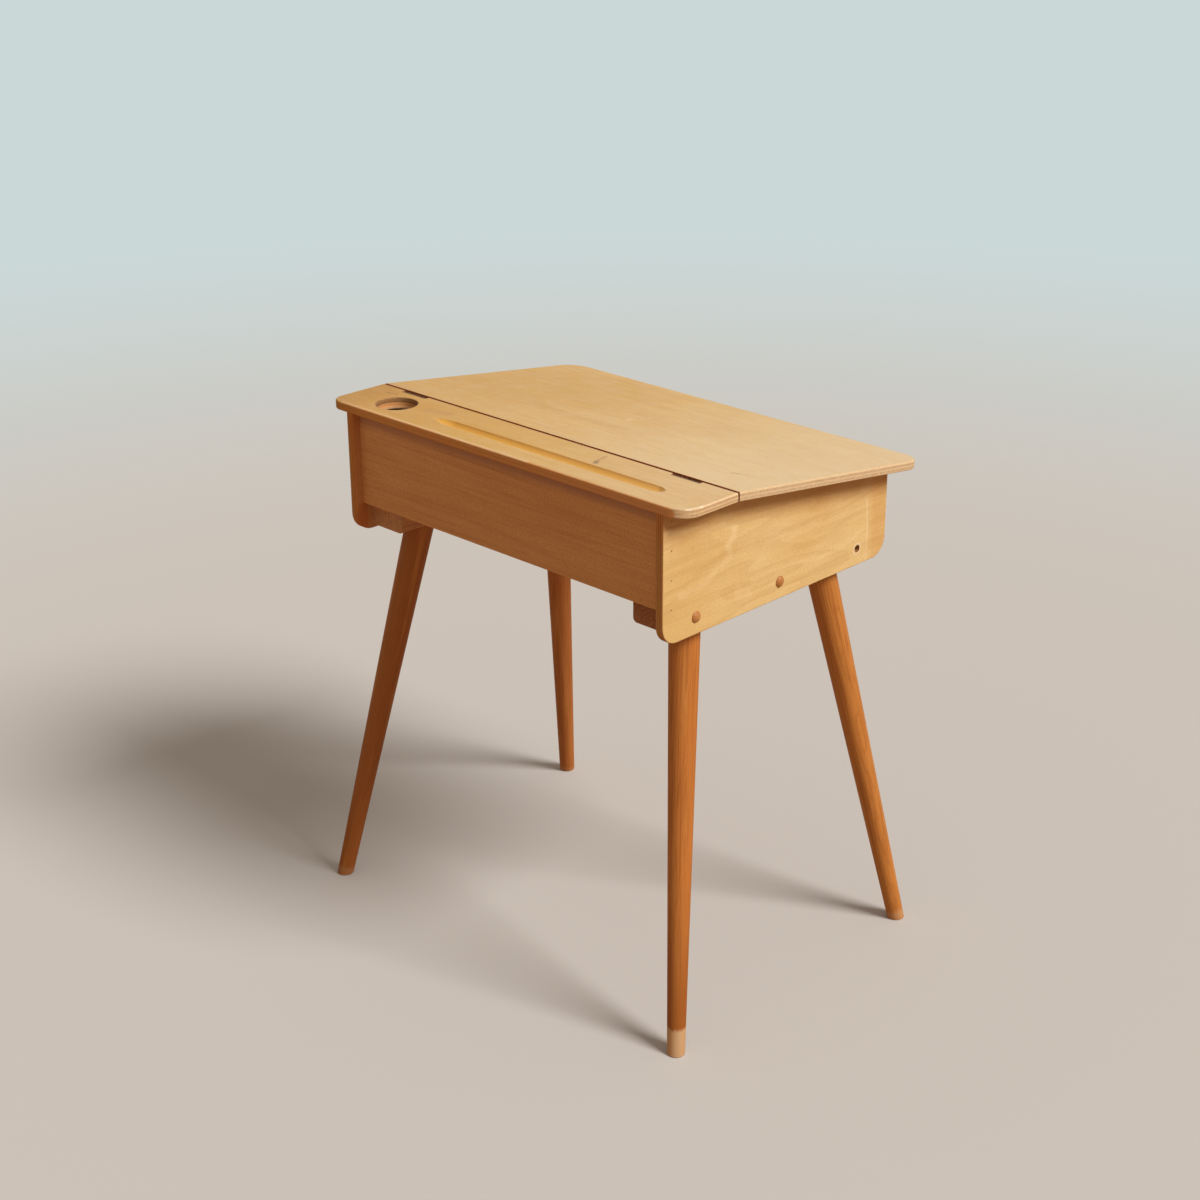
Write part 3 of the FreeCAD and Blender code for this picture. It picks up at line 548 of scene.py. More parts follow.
@dataclass(frozen=True)
class StainedBeech:
    """Solid beech, turned or planed, stained red-brown and varnished.

    Growth rings run as long stripes down a turned leg and as arcs on sawn ends; short rays fleck
    it. A rubbed foot has lost the stain and shows raw wood, darker where the stain stops.

    Attributes:
        name: Name of the material.
        ground: Main colour of the stained wood.
        late: Colour of the dark rings.
        pale: Colour of the rubbed clouds.
        raw: Colour of wood without stain.
        grain: Direction of the grain in the piece's own axes.
        pith_mm: Offset of the piece's origin from the rings' middle.
        ring_mm: Distance between rings.
        ring: Strength of the rings.
        bare_mm: Height of the rubbed foot.
        bare: How much of the stain is gone there, from 0 to 1.
        rim: How far the stain has darkened just above it, from 0 to 1.
        roughness: Roughness of the varnish.
        coat: Weight of the clear layer.
    """

    name: str
    ground: str
    late: str
    pale: str
    raw: str = "#C8A680"
    grain: Axis = Axis.Z
    pith_mm: Triple = (34.0, 21.0, 0.0)
    ring_mm: float = 2.6
    ring: float = 0.25
    bare_mm: float = 0.0
    bare: float = 0.0
    rim: float = 0.0
    roughness: float = 0.4
    coat: float = 0.12

    # Rays are drawn twice their real width so that they show
    RAY_MM = (1.2, 6.0)
    STREAK_MM = (2.2, 130.0)
    CLOUD_MM = (12.0, 160.0)
    WANDER_MM = (18.0, 120.0)
    STRAY_MM = 2.5
    # The rings' middle leans this much away from the grain, so that their stripes taper out
    LEAN = 0.03
    # The rubbed foot's ragged edge: its patches, how far it strays, where the stain fades out and in
    RAGGED_MM = (9.0, 30.0)
    LIFT_MM = 3.0
    STAIN_END_MM = (-4.0, 2.5)
    RIM_MM = 200.0
    # Strengths of fine streaks, rubbed clouds and rays, and of streaks in bare wood
    STREAK = 0.5
    CLOUD = 0.4
    RAY = 0.35
    BARE_STREAK = 0.45
    BUMP = (0.1, 0.1 * MM)
    SPECULAR = 0.18
    COAT_ROUGHNESS = 0.3
    # Least and most that is added to the roughness, and the roughness of bare wood
    ROUGHER = (-0.05, 0.05)
    BARE_ROUGHNESS = 0.65

    def rings(self, add: Adder, place: Any) -> Any:
        """Returns the growth rings as a wave from -1 to 1."""
        wander = Grain(add, place, self.grain).streaks(*self.WANDER_MM)
        drift = add(Node.FADE, wander, 0.2, 0.8, -self.STRAY_MM * MM, self.STRAY_MM * MM)
        moved = add(Node.SHIFT, place, drift)
        slender = add(Node.STRETCH, moved, self.grain.stretched(1.0, self.LEAN))
        radius = add(Node.LENGTH, add(Node.SHIFT, slender, Vector(self.pith_mm) * MM))
        return add(Node.WAVE, add(Node.TIMES, radius, TURN / (self.ring_mm * MM)))

    def rub_foot(self, add: Adder, place: Any, colour: Any, streaks: Any) -> tuple[Any, Any]:
        """Rubs the stain off the foot.

        Args:
            add: Adds a node to the tree.
            place: Position in the piece's own axes, with its foot at 0.
            colour: Colour of the stained wood.
            streaks: Fine streaks of the wood.

        Returns:
            The colour, and how bare the wood is there.
        """
        height = add(Node.DOT, place, Axis.Z.value)
        ragged = Grain(add, place, self.grain).streaks(*self.RAGGED_MM, detail=3.0)
        lift = add(Node.FADE, ragged, 0.25, 0.75, -self.LIFT_MM * MM, self.LIFT_MM * MM)
        height = add(Node.ADD, height, lift)
        top = self.bare_mm * MM
        rim = add(Node.FADE, height, top, top + self.RIM_MM * MM, self.rim, 0.0)
        colour = add(Node.LAYER, rim, colour, linear(self.late))
        low, high = (top + end * MM for end in self.STAIN_END_MM)
        gone = add(Node.FADE, height, low, high, self.bare, 0.0)
        wood = lay_over(add, linear(self.raw), (streaks, 0.4, 0.7, self.BARE_STREAK, self.pale))
        return add(Node.LAYER, gone, colour, wood), gone

    def material(self, seat: Matrix | None = None) -> bpy.types.Material:
        """Builds the material.

        Args:
            seat: Where the piece's own axes stand in the frame, if not at its origin.

        Returns:
            The material.
        """
        material, add = blank_material(self.name)
        place = add(Node.PLACE)
        if seat:
            place = add(Node.OWN_PLACE, place, seat.to_translation(), seat.to_euler())
        grain = Grain(add, place, self.grain)
        streaks = grain.streaks(*self.STREAK_MM, detail=3.0)
        colour = lay_over(
            add,
            linear(self.ground),
            (self.rings(add, place), 0.1, 1.0, self.ring, self.late),
            (streaks, 0.45, 0.7, self.STREAK, self.late),
            (grain.streaks(*self.CLOUD_MM), 0.5, 0.8, self.CLOUD, self.pale),
        )
        rays = grain.flecks(*self.RAY_MM)
        share = add(Node.TIMES, rays, self.RAY)
        colour = add(Node.LAYER, share, colour, linear(self.late))
        rough = add(Node.FADE, streaks, 0.3, 0.7, *(self.roughness + more for more in self.ROUGHER))
        if self.bare > 0:
            colour, gone = self.rub_foot(add, place, colour, streaks)
            rough = add(Node.CHOICE, gone, rough, self.BARE_ROUGHNESS)
        height = add(Node.TAKE, streaks, rays)
        bump = add(Node.BUMP, height, *self.BUMP)
        feeds = (colour, rough, bump, self.SPECULAR, self.coat, self.COAT_ROUGHNESS)
        add(Node.SURFACE_END, add(Node.VARNISHED, *feeds))
        return material


@dataclass(frozen=True)
class AgedMetal:
    """Bare, bronzed or plated metal that has dulled in spots.

    Attributes:
        name: Name of the material.
        bright: Colour of the rubbed metal.
        dull: Colour of the tarnish.
        tarnish: How much of it is tarnished, from 0 to 1.
        roughness: Roughness of the rubbed metal.
        metallic: How much of it shines as metal, less under a browned or dirty skin.
    """

    name: str
    bright: str
    dull: str
    tarnish: float = 0.6
    roughness: float = 0.35
    metallic: float = 1.0

    SPOT_MM = 2.5
    BUMP = (0.2, 0.05 * MM)
    TARNISH_ROUGHER = 0.25

    def material(self) -> bpy.types.Material:
        """Builds the material."""
        material, add = blank_material(self.name)
        spots = add(Node.NOISE, add(Node.PLACE), 1 / (self.SPOT_MM * MM), 4.0)
        # The more tarnish, the weaker the noise that it begins at
        low, high = 0.7 - self.tarnish * 0.5, 0.75 - self.tarnish * 0.3
        cover = add(Node.FADE, spots, low, high, 0.0, 1.0)
        colour = add(Node.LAYER, cover, linear(self.bright), linear(self.dull))
        rough = add(Node.FADE, cover, 0.0, 1.0, self.roughness, self.roughness + self.TARNISH_ROUGHER)
        bump = add(Node.BUMP, spots, *self.BUMP)
        add(Node.SURFACE_END, add(Node.METAL, colour, rough, bump, self.metallic))
        return material


WoodFinish = TypeVar("WoodFinish", VarnishedPly, StainedBeech)


def for_piece(finish: WoodFinish, piece: str, **changes: Any) -> WoodFinish:
    """Returns a finish with what is different on one piece of it, named for that piece."""
    return replace(finish, name=f"{finish.name}_{piece}", **changes)


TOP_PLY = VarnishedPly(
    name="beech_plywood_varnished_top",
    ground="#DDBA7E",
    light="#E2C088",
    dark="#B6843E",
    aged="#D0A058",
    rubbed="#EFD09E",
    edge_long="#A6743E",
    edge_end="#D4AA74",
    glue=0.5,
    cloud=0.34,
    edge_pale=0.25,
    plies=5,
)

NOTCH_DARK = "#5E3208"
# Colours of painted light and painted shade for the ends nearer to and farther from the light
PAINTED_NEAR_LIGHT = "#E8D3B2"
PAINTED_FAR_SHADE = "#C4944C"


def level(z: float, *points: tuple[float, float]) -> tuple[Triple, ...]:
    """Turns (x, y) points into points at one height."""
    return tuple((x, y, z) for x, y in points)


def upright(x: float, *points: tuple[float, float]) -> tuple[Triple, ...]:
    """Turns (y, z) points into points on one upright face."""
    return tuple((x, y, z) for y, z in points)


# Points on the strip's upper face and on the outer faces of the sides
on_strip = partial(level, 734.0)
on_left = partial(upright, -291.15)
on_right = partial(upright, 291.15)


def seam_dirt_and_shade(y_mm: float) -> Mark:
    """Returns the dark line along the seam between strip and lid, and down its two ends: dirt, and painted shade
    of the gap.
    """
    across = [(-322.0, 722.5), (-322.0, 733.2), (322.0, 733.2), (322.0, 722.5)]
    return Mark("#843E00", 1.0, 3.5, tuple((x, y_mm, z) for x, z in across), 0.74, 0.0, 0.0)


LID_MARKS = (
    # Painted light pales the pupil's left half, nearer the light, and painted shade darkens the other half to
    # yellow-brown
    Mark(PAINTED_NEAR_LIGHT, 0.6, 430.0, ((-330, 120, 734), (-330, -250, 684)), 0.05, 6.0),
    Mark(PAINTED_FAR_SHADE, 0.6, 330.0, ((330, 120, 734), (300, -60, 710)), 0.05, 6.0),
    # Two brown stains near the left hinge
    Mark("#8A6A42", 0.45, 4.0, ((-255, 57, 725), (-262, 52.5, 724.3))),
    Mark("#9A7446", 0.4, 3.0, ((-266, 51, 724), (-272, 47.5, 723.6))),
    # Spots and wider places that sleeves have rubbed pale, and one that has stayed brown
    Mark("#EFD8AE", 0.4, 6.0, ((14.6, -45, 711.1), (7.7, -31.8, 712.9)), 0.0, 2.0, 0.2),
    Mark("#EFD8AE", 0.35, 6.0, ((7.3, -76, 706.9),), 0.0, 2.0, 0.2),
    Mark("#EBD0A0", 0.25, 12.0, ((-14.8, -96.9, 704), (-28, -98, 704))),
    Mark("#EBD0A0", 0.2, 30.0, ((-108, -28, 713.4), (-180, -40, 711.8))),
    Mark("#C08E50", 0.25, 16.0, ((150, 10, 718), (60, 20, 720), (-20, 14, 719)), 0.1, 5.0),
    seam_dirt_and_shade(125.4),
)

INKWELL_MM = (241.0, 174.708)
INKWELL_RADIUS_MM = 28.0

STRIP_MARKS = (
    # Painted light pales the pupil's left end, and painted shade darkens its right end
    Mark(PAINTED_NEAR_LIGHT, 0.45, 420.0, on_strip((-330, 225), (-330, 125)), 0.05, 6.0),
    Mark(PAINTED_FAR_SHADE, 0.8, 360.0, on_strip((330, 225), (330, 125)), 0.05, 6.0),
    # Painted highlight on the near lip of the groove, where it catches the light
    Mark("#EBD3A4", 0.5, 5.0, level(733.6, (-120, 190), (130, 190)), 0.2, 2.0),
    # A brown spill beside the inkwell hole, a drop of ink with its run, and two short scratches
    Mark("#B77C50", 0.35, 13.0, on_strip((189.9, 165), (157, 157))),
    Mark("#5F4A48", 0.7, 5.0, on_strip((-124.6, 165), (-121.5, 160)), 0.3, 1.0),
    Mark("#8B6A58", 0.35, 4.5, on_strip((-121.5, 160), (-116.5, 139)), 0.1, 1.0),
    Mark("#8A5418", 0.9, 2.0, on_strip((291, 150), (282, 150.5)), 0.1, 0.5, 0.0),
    Mark("#8A5418", 0.8, 1.8, on_strip((283, 148), (272, 147)), 0.1, 0.5, 0.0),
    # Painted shade colour: golden orange along the groove's far wall, which lies in the shade
    Mark(
        "#DDA648", 0.8, 9.0,
        ((-248, 180, 731.6), (-240, 177.4, 730.6), (122, 177.4, 730.6), (142, 180, 732)),
        0.25, 0.4, 0.1,
    ),
    # Painted highlight on the arris at the pupil's left end, brightest at the corner
    Mark("#F2DCC0", 0.3, 2.0, level(733.5, (-324.4, 128), (-324.4, 193.7)), 0.3, 0.3, 0.4),
    Mark("#FBEEDC", 0.55, 1.9, level(733.4, (-324.2, 190), (-320.6, 207.6), (-318, 211)), 0.3, 0.4, 0.0),
    # Painted shade reddens the back edge, which is always in the shade, and its arris is worn pale
    Mark("#CE8648", 0.85, 9.0, level(726.6, (-300, 222.7), (300, 222.7)), 0.7, 0.8, 0.1),
    Mark("#EED8B0", 0.4, 3.6, on_strip((-60, 219.9), (300, 219.9)), 0.3, 0.6, 0.3),
    # Painted shade darkens the pupil's right end, farther from the light
    Mark("#A8783C", 0.5, 70.0, on_strip((318, 215), (318, 140)), 0.1, 6.0, 0.3),
    # Dark lines along the notches of the hinges
    Mark(NOTCH_DARK, 0.8, 3.0, level(733.6, (232, 133), (276.5, 133)), 0.3, 0.3, 0.0),
    Mark(NOTCH_DARK, 0.6, 2.6, level(733.6, (-268, 133), (-223, 133)), 0.3, 0.3, 0.0),
    # The inkwell hole: clean wood low down, ink and dirt on the upper wall and a line where the well's rim sat
    RingMark("#DE9C70", 0.6, 6.5, level(723, INKWELL_MM), 0.7, 0.4, 0.3, INKWELL_RADIUS_MM),
    RingMark("#84604A", 0.75, 3.6, level(731.4, INKWELL_MM), 0.7, 0.4, 0.3, INKWELL_RADIUS_MM),
    RingMark("#4A2C18", 0.7, 1.1, level(728.2, INKWELL_MM), 0.3, 0.2, 0.2, INKWELL_RADIUS_MM),
    seam_dirt_and_shade(125.0),
)

STRIP_PLY = for_piece(TOP_PLY, "strip", ground="#D5AC66", marks=STRIP_MARKS)
LID_PLY = for_piece(TOP_PLY, "lid", rubbed="#DDB784", edge_long="#8E5E30", edge_end="#C6985E", marks=LID_MARKS)
PLATE_PLY = for_piece(TOP_PLY, "inkwell_plate", plies=3, edge_long="#E6BC94", edge_end="#DCAC84")

SIDE_PLY = VarnishedPly(
    name="beech_plywood_varnished_side",
    ground="#E2C389",
    light="#E6CA92",
    dark="#BC8C50",
    aged="#D4AA66",
    rubbed="#EBC88E",
    edge_long="#C58A52",
    edge_end="#A06A38",
    glue=0.4,
    figure=0.17,
    figure_mm=(60.0, 330.0),
    fleck=0.36,
    streak=0.27,
    cloud=0.42,
    plies=7,
)

PALE = "#F0D6A6"
SCRATCHED = "#F6E6CA"
# The screw hole that has lost its cap
OPEN_HOLE = on_left((-155.3, 574.5))

LEFT_SIDE_MARKS = (
    # Painted shade under the lid's overhang darkens the top of the side
    Mark("#B0642A", 0.5, 52.0, on_left((222, 722), (124, 722), (-216, 676)), 0.25, 4.0, 0.1),
    # Pale wandering streaks in the veneer
    Mark(PALE, 0.25, 7.0, on_left((217, 698), (182, 691), (146, 686.5), (113, 679.5), (92, 671)), 0.0, 5.0, 0.35),
    Mark(PALE, 0.45, 10.0, on_left((92, 671), (94, 661), (104.5, 651)), 0.0, 5.0, 0.3),
    Mark(
        PALE, 0.32, 9.0,
        on_left((104.5, 651), (100, 636), (115, 630.5), (130, 624), (141, 617), (158, 611), (191, 611)),
        0.0, 5.0, 0.4,
    ),
    Mark(PALE, 0.25, 24.0, on_left((25, 641), (5, 642), (-26, 637.5), (-67, 632)), 0.1, 8.0, 0.7),
    Mark(
        PALE, 0.28, 6.0,
        on_left((57, 591), (27, 591.5), (-21, 590), (-77, 584), (-119, 586), (-164, 598)),
        0.1, 4.0, 0.6,
    ),
    Mark(PALE, 0.25, 13.0, on_left((84, 584), (64, 573)), 0.1, 6.0, 0.6),
    # Wood that the front edge has kept darker, and the long scratch beside it
    Mark("#C98B42", 0.4, 40.0, on_left((-212, 690), (-212, 600), (-212, 560)), 0.5, 4.0),
    Mark(SCRATCHED, 0.6, 0.9, on_left((-172, 640), (-175, 600), (-176, 581)), 0.2, 0.5, 0.0),
    Mark(SCRATCHED, 0.4, 0.8, on_left((-176, 581), (-174, 553)), 0.2, 0.5, 0.0),
    # Bare wood round the open screw hole, and a dark ring of painted shade at its rim that makes the hole look
    # wider
    RingMark("#F2DCBC", 0.4, 2.5, OPEN_HOLE, 0.3, 0.6, 0.0, 6.6, Axis.X),
    RingMark("#5A3820", 0.75, 1.0, OPEN_HOLE, 0.5, 0.2, 0.0, 4.7, Axis.X),
)

RIGHT_SIDE_MARKS = (
    # Painted shade under the lid's overhang darkens the top of the side
    Mark("#B0642A", 0.4, 48.0, on_right((222, 722), (124, 722), (-216, 676)), 0.25, 4.0, 0.1),
    # Painted shade: the inner reveal behind the back panel and the inner face near the bottom are painted
    # red-brown
    Mark("#BA6A32", 0.7, 17.0, upright(272, (215, 715), (215, 546)), 0.65, 0.5, 0.0),
    # Its line lies far inside, so that the stroke ends before it comes through the panel
    Mark("#B4642E", 0.7, 50.0, upright(240, (204, 568), (120, 566)), 0.86, 0.5, 0.0),
    # Painted shade: near black on the inner face beside the inkwell hole, where the box's inside lies dark
    Mark("#24160C", 0.9, 22.0, upright(268, (165, 708), (120, 700)), 0.6, 0.5, 0.0),
    Mark(PALE, 0.35, 9.0, on_right((150, 600), (40, 622), (-90, 618)), 0.1, 5.0, 0.6),
    Mark(PALE, 0.3, 16.0, on_right((60, 672), (-30, 660)), 0.1, 6.0, 0.6),
)

LEFT_SIDE_PLY = for_piece(SIDE_PLY, "left", marks=LEFT_SIDE_MARKS)
RIGHT_SIDE_PLY = for_piece(SIDE_PLY, "right", marks=RIGHT_SIDE_MARKS)

PANEL_PLY = VarnishedPly(
    name="gaboon_plywood_varnished_panel",
    ground="#DA9C62",
    light="#E4AA72",
    dark="#AC703E",
    aged="#D0925A",
    rubbed="#DDA878",
    edge_long="#D49A66",
    edge_end="#A87044",
    figure=0.12,
    figure_mm=(26.0, 700.0),
    figure_lines=3.0,
    streak=0.42,
    edge_pale=0.2,
    roughness=0.55,
)

# Painted shade under the strip's overhang darkens the top of the panel
PAINTED_SHADE_UNDER_STRIP = Mark("#A2745C", 0.65, 20.0, level(719, (-281, 209.7), (281, 209.7)), 0.3, 1.5, 0.1)
BACK_PLY = for_piece(PANEL_PLY, "back_panel", marks=(PAINTED_SHADE_UNDER_STRIP,))
FRONT_PLY = for_piece(PANEL_PLY, "front_panel")
BOTTOM_PLY = for_piece(PANEL_PLY, "bottom_board")

LEG_BEECH = StainedBeech(
    name="beech_turned_stained_leg",
    ground="#BF7A3A",
    late="#925220",
    pale="#D69850",
    coat=0.02,
)

RAIL_BEECH = StainedBeech(
    name="beech_planed_stained_rail",
    ground="#A0663C",
    late="#784626",
    pale="#B0764A",
    grain=Axis.Y,
    pith_mm=(250.0, 0.0, -560.0),
    ring_mm=5.0,
    ring=0.4,
    roughness=0.55,
    coat=0.05,
)

LEFT_RAIL_BEECH = for_piece(RAIL_BEECH, "left")
# The two rails' tones are painted light and shade: the pupil's right rail is lighter and the left one darker
RIGHT_RAIL_BEECH = for_piece(RAIL_BEECH, "right", ground="#C48C60", late="#98643E", pale="#D09A6C")

CAP_BEECH = StainedBeech(
    name="beech_turned_cap",
    ground="#B87C46",
    late="#8E582E",
    pale="#CE9458",
    grain=Axis.X,
    pith_mm=(0.0, 60.0, 20.0),
    ring_mm=3.0,
    ring=0.2,
    roughness=0.45,
)

DOWEL_BEECH = StainedBeech(
    name="beech_fluted_dowel",
    ground="#D2AE80",
    late="#B48B5C",
    pale="#DEC29A",
    roughness=0.6,
    coat=0.0,
)

HINGE_BRASS = AgedMetal("brass_pressed_bronzed_hinge", "#743E12", "#3E2008", 0.7, 0.7, 0.15)
PIN_BRASS = AgedMetal("brass_drawn_hinge_pin", "#E8D2B8", "#B09078", 0.2, 0.35, 0.7)
SCREW_STEEL = AgedMetal("steel_zinc_plated_screw", "#A8A29A", "#4A4038", 0.5, 0.35)
WIRE_STEEL = AgedMetal("steel_drawn_panel_pin", "#8A8078", "#3E3028", 0.7, 0.45)


# Edges that turn by more than this are sharp
CREASE_DEG = 50.0


@dataclass
class SubAssembly:
    """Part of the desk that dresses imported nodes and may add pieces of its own.

    Attributes:
        nodes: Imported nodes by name.
    """

    nodes: Mapping[str, bpy.types.Object]

    # Corners of a solid's faces that are closer than this are one corner
    WELD_MM = 0.01

    def dress(self, node: str, material: bpy.types.Material) -> None:
        """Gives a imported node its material.

        Args:
            node: Name of the node.
            material: Its new material.
        """
        for slot in self.nodes[node].material_slots:
            slot.material = material
        LOG.info("%s: %s", node, material.name)

    def dress_board(self, node: str, ply: VarnishedPly, through: Triple, grain: Axis, cross: Axis) -> None:
        """Gives a packed board a plywood finish whose layers lie as it lies.

        Args:
            node: Name of the node.
            ply: The finish.
            through: Direction through the board, from its first face to its last.
            grain: Grain of the outer layers.
            cross: Grain of the layers between them.
        """
        self.dress(node, ply.material(Board.measured(self.nodes[node], through, ply.plies, grain, cross)))

    def soften(self, node: str, width_mm: float) -> None:
        """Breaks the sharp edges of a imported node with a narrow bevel.

        Args:
            node: Name of the node.
            width_mm: Width of the broken edge.
        """
        target = self.nodes[node]
        weld = target.modifiers.new("joined_corners", "WELD")
        weld.merge_threshold = self.WELD_MM * MM
        bevel = target.modifiers.new("broken_edges", "BEVEL")
        bevel.width = width_mm * MM
        bevel.segments = 2
        bevel.limit_method = "ANGLE"
        bevel.angle_limit = math.radians(CREASE_DEG)
        bevel.harden_normals = True


@dataclass
class Top(SubAssembly):
    """Level strip, sloping lid and the thin plate under the inkwell hole.

    Attributes:
        lid_slope_deg: How far the lid falls towards the front.
    """

    lid_slope_deg: float = 7.7

    def build(self) -> None:
        """Dresses the boards of the top."""
        slope = math.radians(self.lid_slope_deg)
        through_lid = (0.0, -math.sin(slope), math.cos(slope))
        self.dress_board("pen_tray_strip", STRIP_PLY, Axis.Z.value, Axis.X, Axis.Y)
        self.dress_board("lid", LID_PLY, through_lid, Axis.X, Axis.Y)
        self.dress_board("inkwell_plate", PLATE_PLY, Axis.Z.value, Axis.X, Axis.Y)


@dataclass
class Box(SubAssembly):
    """Sides, back, front and bottom of the storage box.

    Attributes:
        panel_edge_mm: Width of the panels' broken edges.
    """

    panel_edge_mm: float = 0.4

    def build(self) -> None:
        """Dresses the boards of the box."""
        self.dress_board("side_panel_left", LEFT_SIDE_PLY, (-1.0, 0.0, 0.0), Axis.Y, Axis.Z)
        self.dress_board("side_panel_right", RIGHT_SIDE_PLY, Axis.X.value, Axis.Y, Axis.Z)
        self.dress_board("back_panel", BACK_PLY, Axis.Y.value, Axis.X, Axis.Z)
        self.dress_board("front_panel", FRONT_PLY, (0.0, -1.0, 0.0), Axis.X, Axis.Z)
        self.dress_board("bottom_board", BOTTOM_PLY, Axis.Z.value, Axis.X, Axis.Y)
        for node in ("back_panel", "front_panel"):
            self.soften(node, self.panel_edge_mm)


@dataclass
class Stand(SubAssembly):
    """Two rails and four splayed legs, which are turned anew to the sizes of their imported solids.

    Attributes:
        top_diameter_mm: Diameter of a leg at its rail, square to its axis.
        foot_diameter_mm: Diameter of a leg at the floor.
        from_rail_end_mm: Distance of a leg's middle from the end of its rail.
        splay_x_deg: How far a leg leans to its side.
        splay_y_deg: How far a leg leans to the front or back.
        foot_round_mm: Radius of the foot's rubbed edge.
        sole_hole_mm: Radius of the small round face in the middle of the sole.
        rail_edge_mm: Width of the rails' broken edges.
        sides: Corners round a leg.
        stations: Rings up a leg.
        round_steps: Rings over the foot's rubbed edge.
    """

    top_diameter_mm: float = 41.0
    foot_diameter_mm: float = 23.3
    from_rail_end_mm: float = 60.5
    splay_x_deg: float = 8.7
    splay_y_deg: float = 10.37
    foot_round_mm: float = 1.6
    sole_hole_mm: float = 0.1
    rail_edge_mm: float = 0.8
    sides: int = 96
    stations: int = 40
    round_steps: int = 5

    # Stain of each leg, its tone set per leg as painted light and shade, darkest on the back right leg in the
    # box's shadow, and how its foot is rubbed
    LEGS = {
        "leg_back_left": {"ground": "#BE7638", "bare_mm": 36.0, "bare": 0.85, "rim": 0.8},
        "leg_front_left": {"ground": "#C27E3E", "bare_mm": 16.0, "bare": 0.45},
        "leg_back_right": {"ground": "#A46230", "bare_mm": 13.0, "bare": 0.25, "rim": 0.2},
        "leg_front_right": {"ground": "#B8723C", "bare_mm": 12.0, "bare": 0.25, "rim": 0.2},
    }

    def leg_mesh(self, side: int, end: int, rail: str) -> tuple[bpy.types.Mesh, Matrix]:
        """Builds one leg between the floor and its rail.

        Args:
            side: -1 for the left leg, 1 for the right one.
            end: -1 for the front leg, 1 for the back one.
            rail: Node of the rail that carries it.

        Returns:
            The mesh, and where the leg's own axes stand, with their Z along it.
        """
        low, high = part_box(rail)
        middle = (low + high) / 2
        reach = (high.y - low.y) / 2 - self.from_rail_end_mm * MM
        shoulder = Vector((middle.x, middle.y + end * reach, low.z))
        across_x = side * math.tan(math.radians(self.splay_x_deg))
        across_y = end * math.tan(math.radians(self.splay_y_deg))
        foot = shoulder + Vector((across_x, across_y, -1.0)) * low.z
        axis = (shoulder - foot).normalized()
        seat = Matrix.Translation(foot) @ axis.to_track_quat("Z", "Y").to_matrix().to_4x4()
        foot_radius = self.foot_diameter_mm / 2 * MM
        growth = (self.top_diameter_mm / 2 * MM - foot_radius) / (shoulder - foot).length

        def on_leg(turn: float, height: float, inset: float) -> Vector:
            """Returns the point of the leg's skin at a turn and a height above the floor."""
            out = seat.to_3x3() @ Vector((math.cos(turn), math.sin(turn), 0.0))
            # The skin line starts at the foot's radius and grows along the axis
            base = foot + out * foot_radius
            run = axis + out * growth
            point = base + run * ((height - base.z) / run.z)
            centre = foot + axis * ((height - foot.z) / axis.z)
            return point + (centre - point).normalized() * inset

        rounding = self.foot_round_mm * MM
        # Height and inset of each ring: two on the sole, then the rubbed edge, the leg and its top
        rings = [(0.0, foot_radius - self.sole_hole_mm * MM), (0.0, foot_radius / 2)]
        for step in range(self.round_steps + 1):
            turn = step / self.round_steps * math.pi / 2
            rings.append((rounding * (1 - math.cos(turn)), rounding * (1 - math.sin(turn))))
        rest = low.z - rounding
        rings += [(rounding + rest * step / self.stations, 0.0) for step in range(1, self.stations + 1)]
        rings.append((low.z, foot_radius))
        count = self.sides
        turns = [TURN * k / count for k in range(count)]
        vertices = [on_leg(turn, height, inset) for height, inset in rings for turn in turns]
        faces = [tuple(reversed(range(count)))]
        for row in range(len(rings) - 1):
            first, second = row * count, (row + 1) * count
            for k in range(count):
                after = (k + 1) % count
                faces.append((first + k, first + after, second + after, second + k))
        last = (len(rings) - 1) * count
        faces.append(tuple(range(last, last + count)))
        mesh = bpy.data.meshes.new("leg")
        mesh.from_pydata(vertices, [], faces)
        mesh.validate()
        mesh.shade_smooth()
        return mesh, seat

    def add_leg(self, side: int, end: int, rail: str, node: str) -> None:
        """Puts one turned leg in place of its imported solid.

        Args:
            side: -1 for the left leg, 1 for the right one.
            end: -1 for the front leg, 1 for the back one.
            rail: Node of the rail that carries it.
            node: Node that it replaces.
        """
        finish = for_piece(LEG_BEECH, node[4:], **self.LEGS[node])
        mesh, seat = self.leg_mesh(side, end, rail)
        mesh.materials.append(finish.material(seat))
        leg = add_object(f"turned_{node}", mesh)
        creases = leg.modifiers.new("crisp_ends", "EDGE_SPLIT")
        creases.split_angle = math.radians(CREASE_DEG)
        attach(leg, "desk")
        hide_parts(node)
        LOG.info("%s: turned %s", node, leg.name)

    def build(self) -> None:
        """Builds the legs and dresses the rails."""
        for side, name, finish in ((-1, "left", LEFT_RAIL_BEECH), (1, "right", RIGHT_RAIL_BEECH)):
            rail = "leg_rail_" + name
            self.dress(rail, finish.material())
            self.soften(rail, self.rail_edge_mm)
            for end, place in ((-1, "front"), (1, "back")):
                self.add_leg(side, end, rail, f"leg_{place}_{name}")


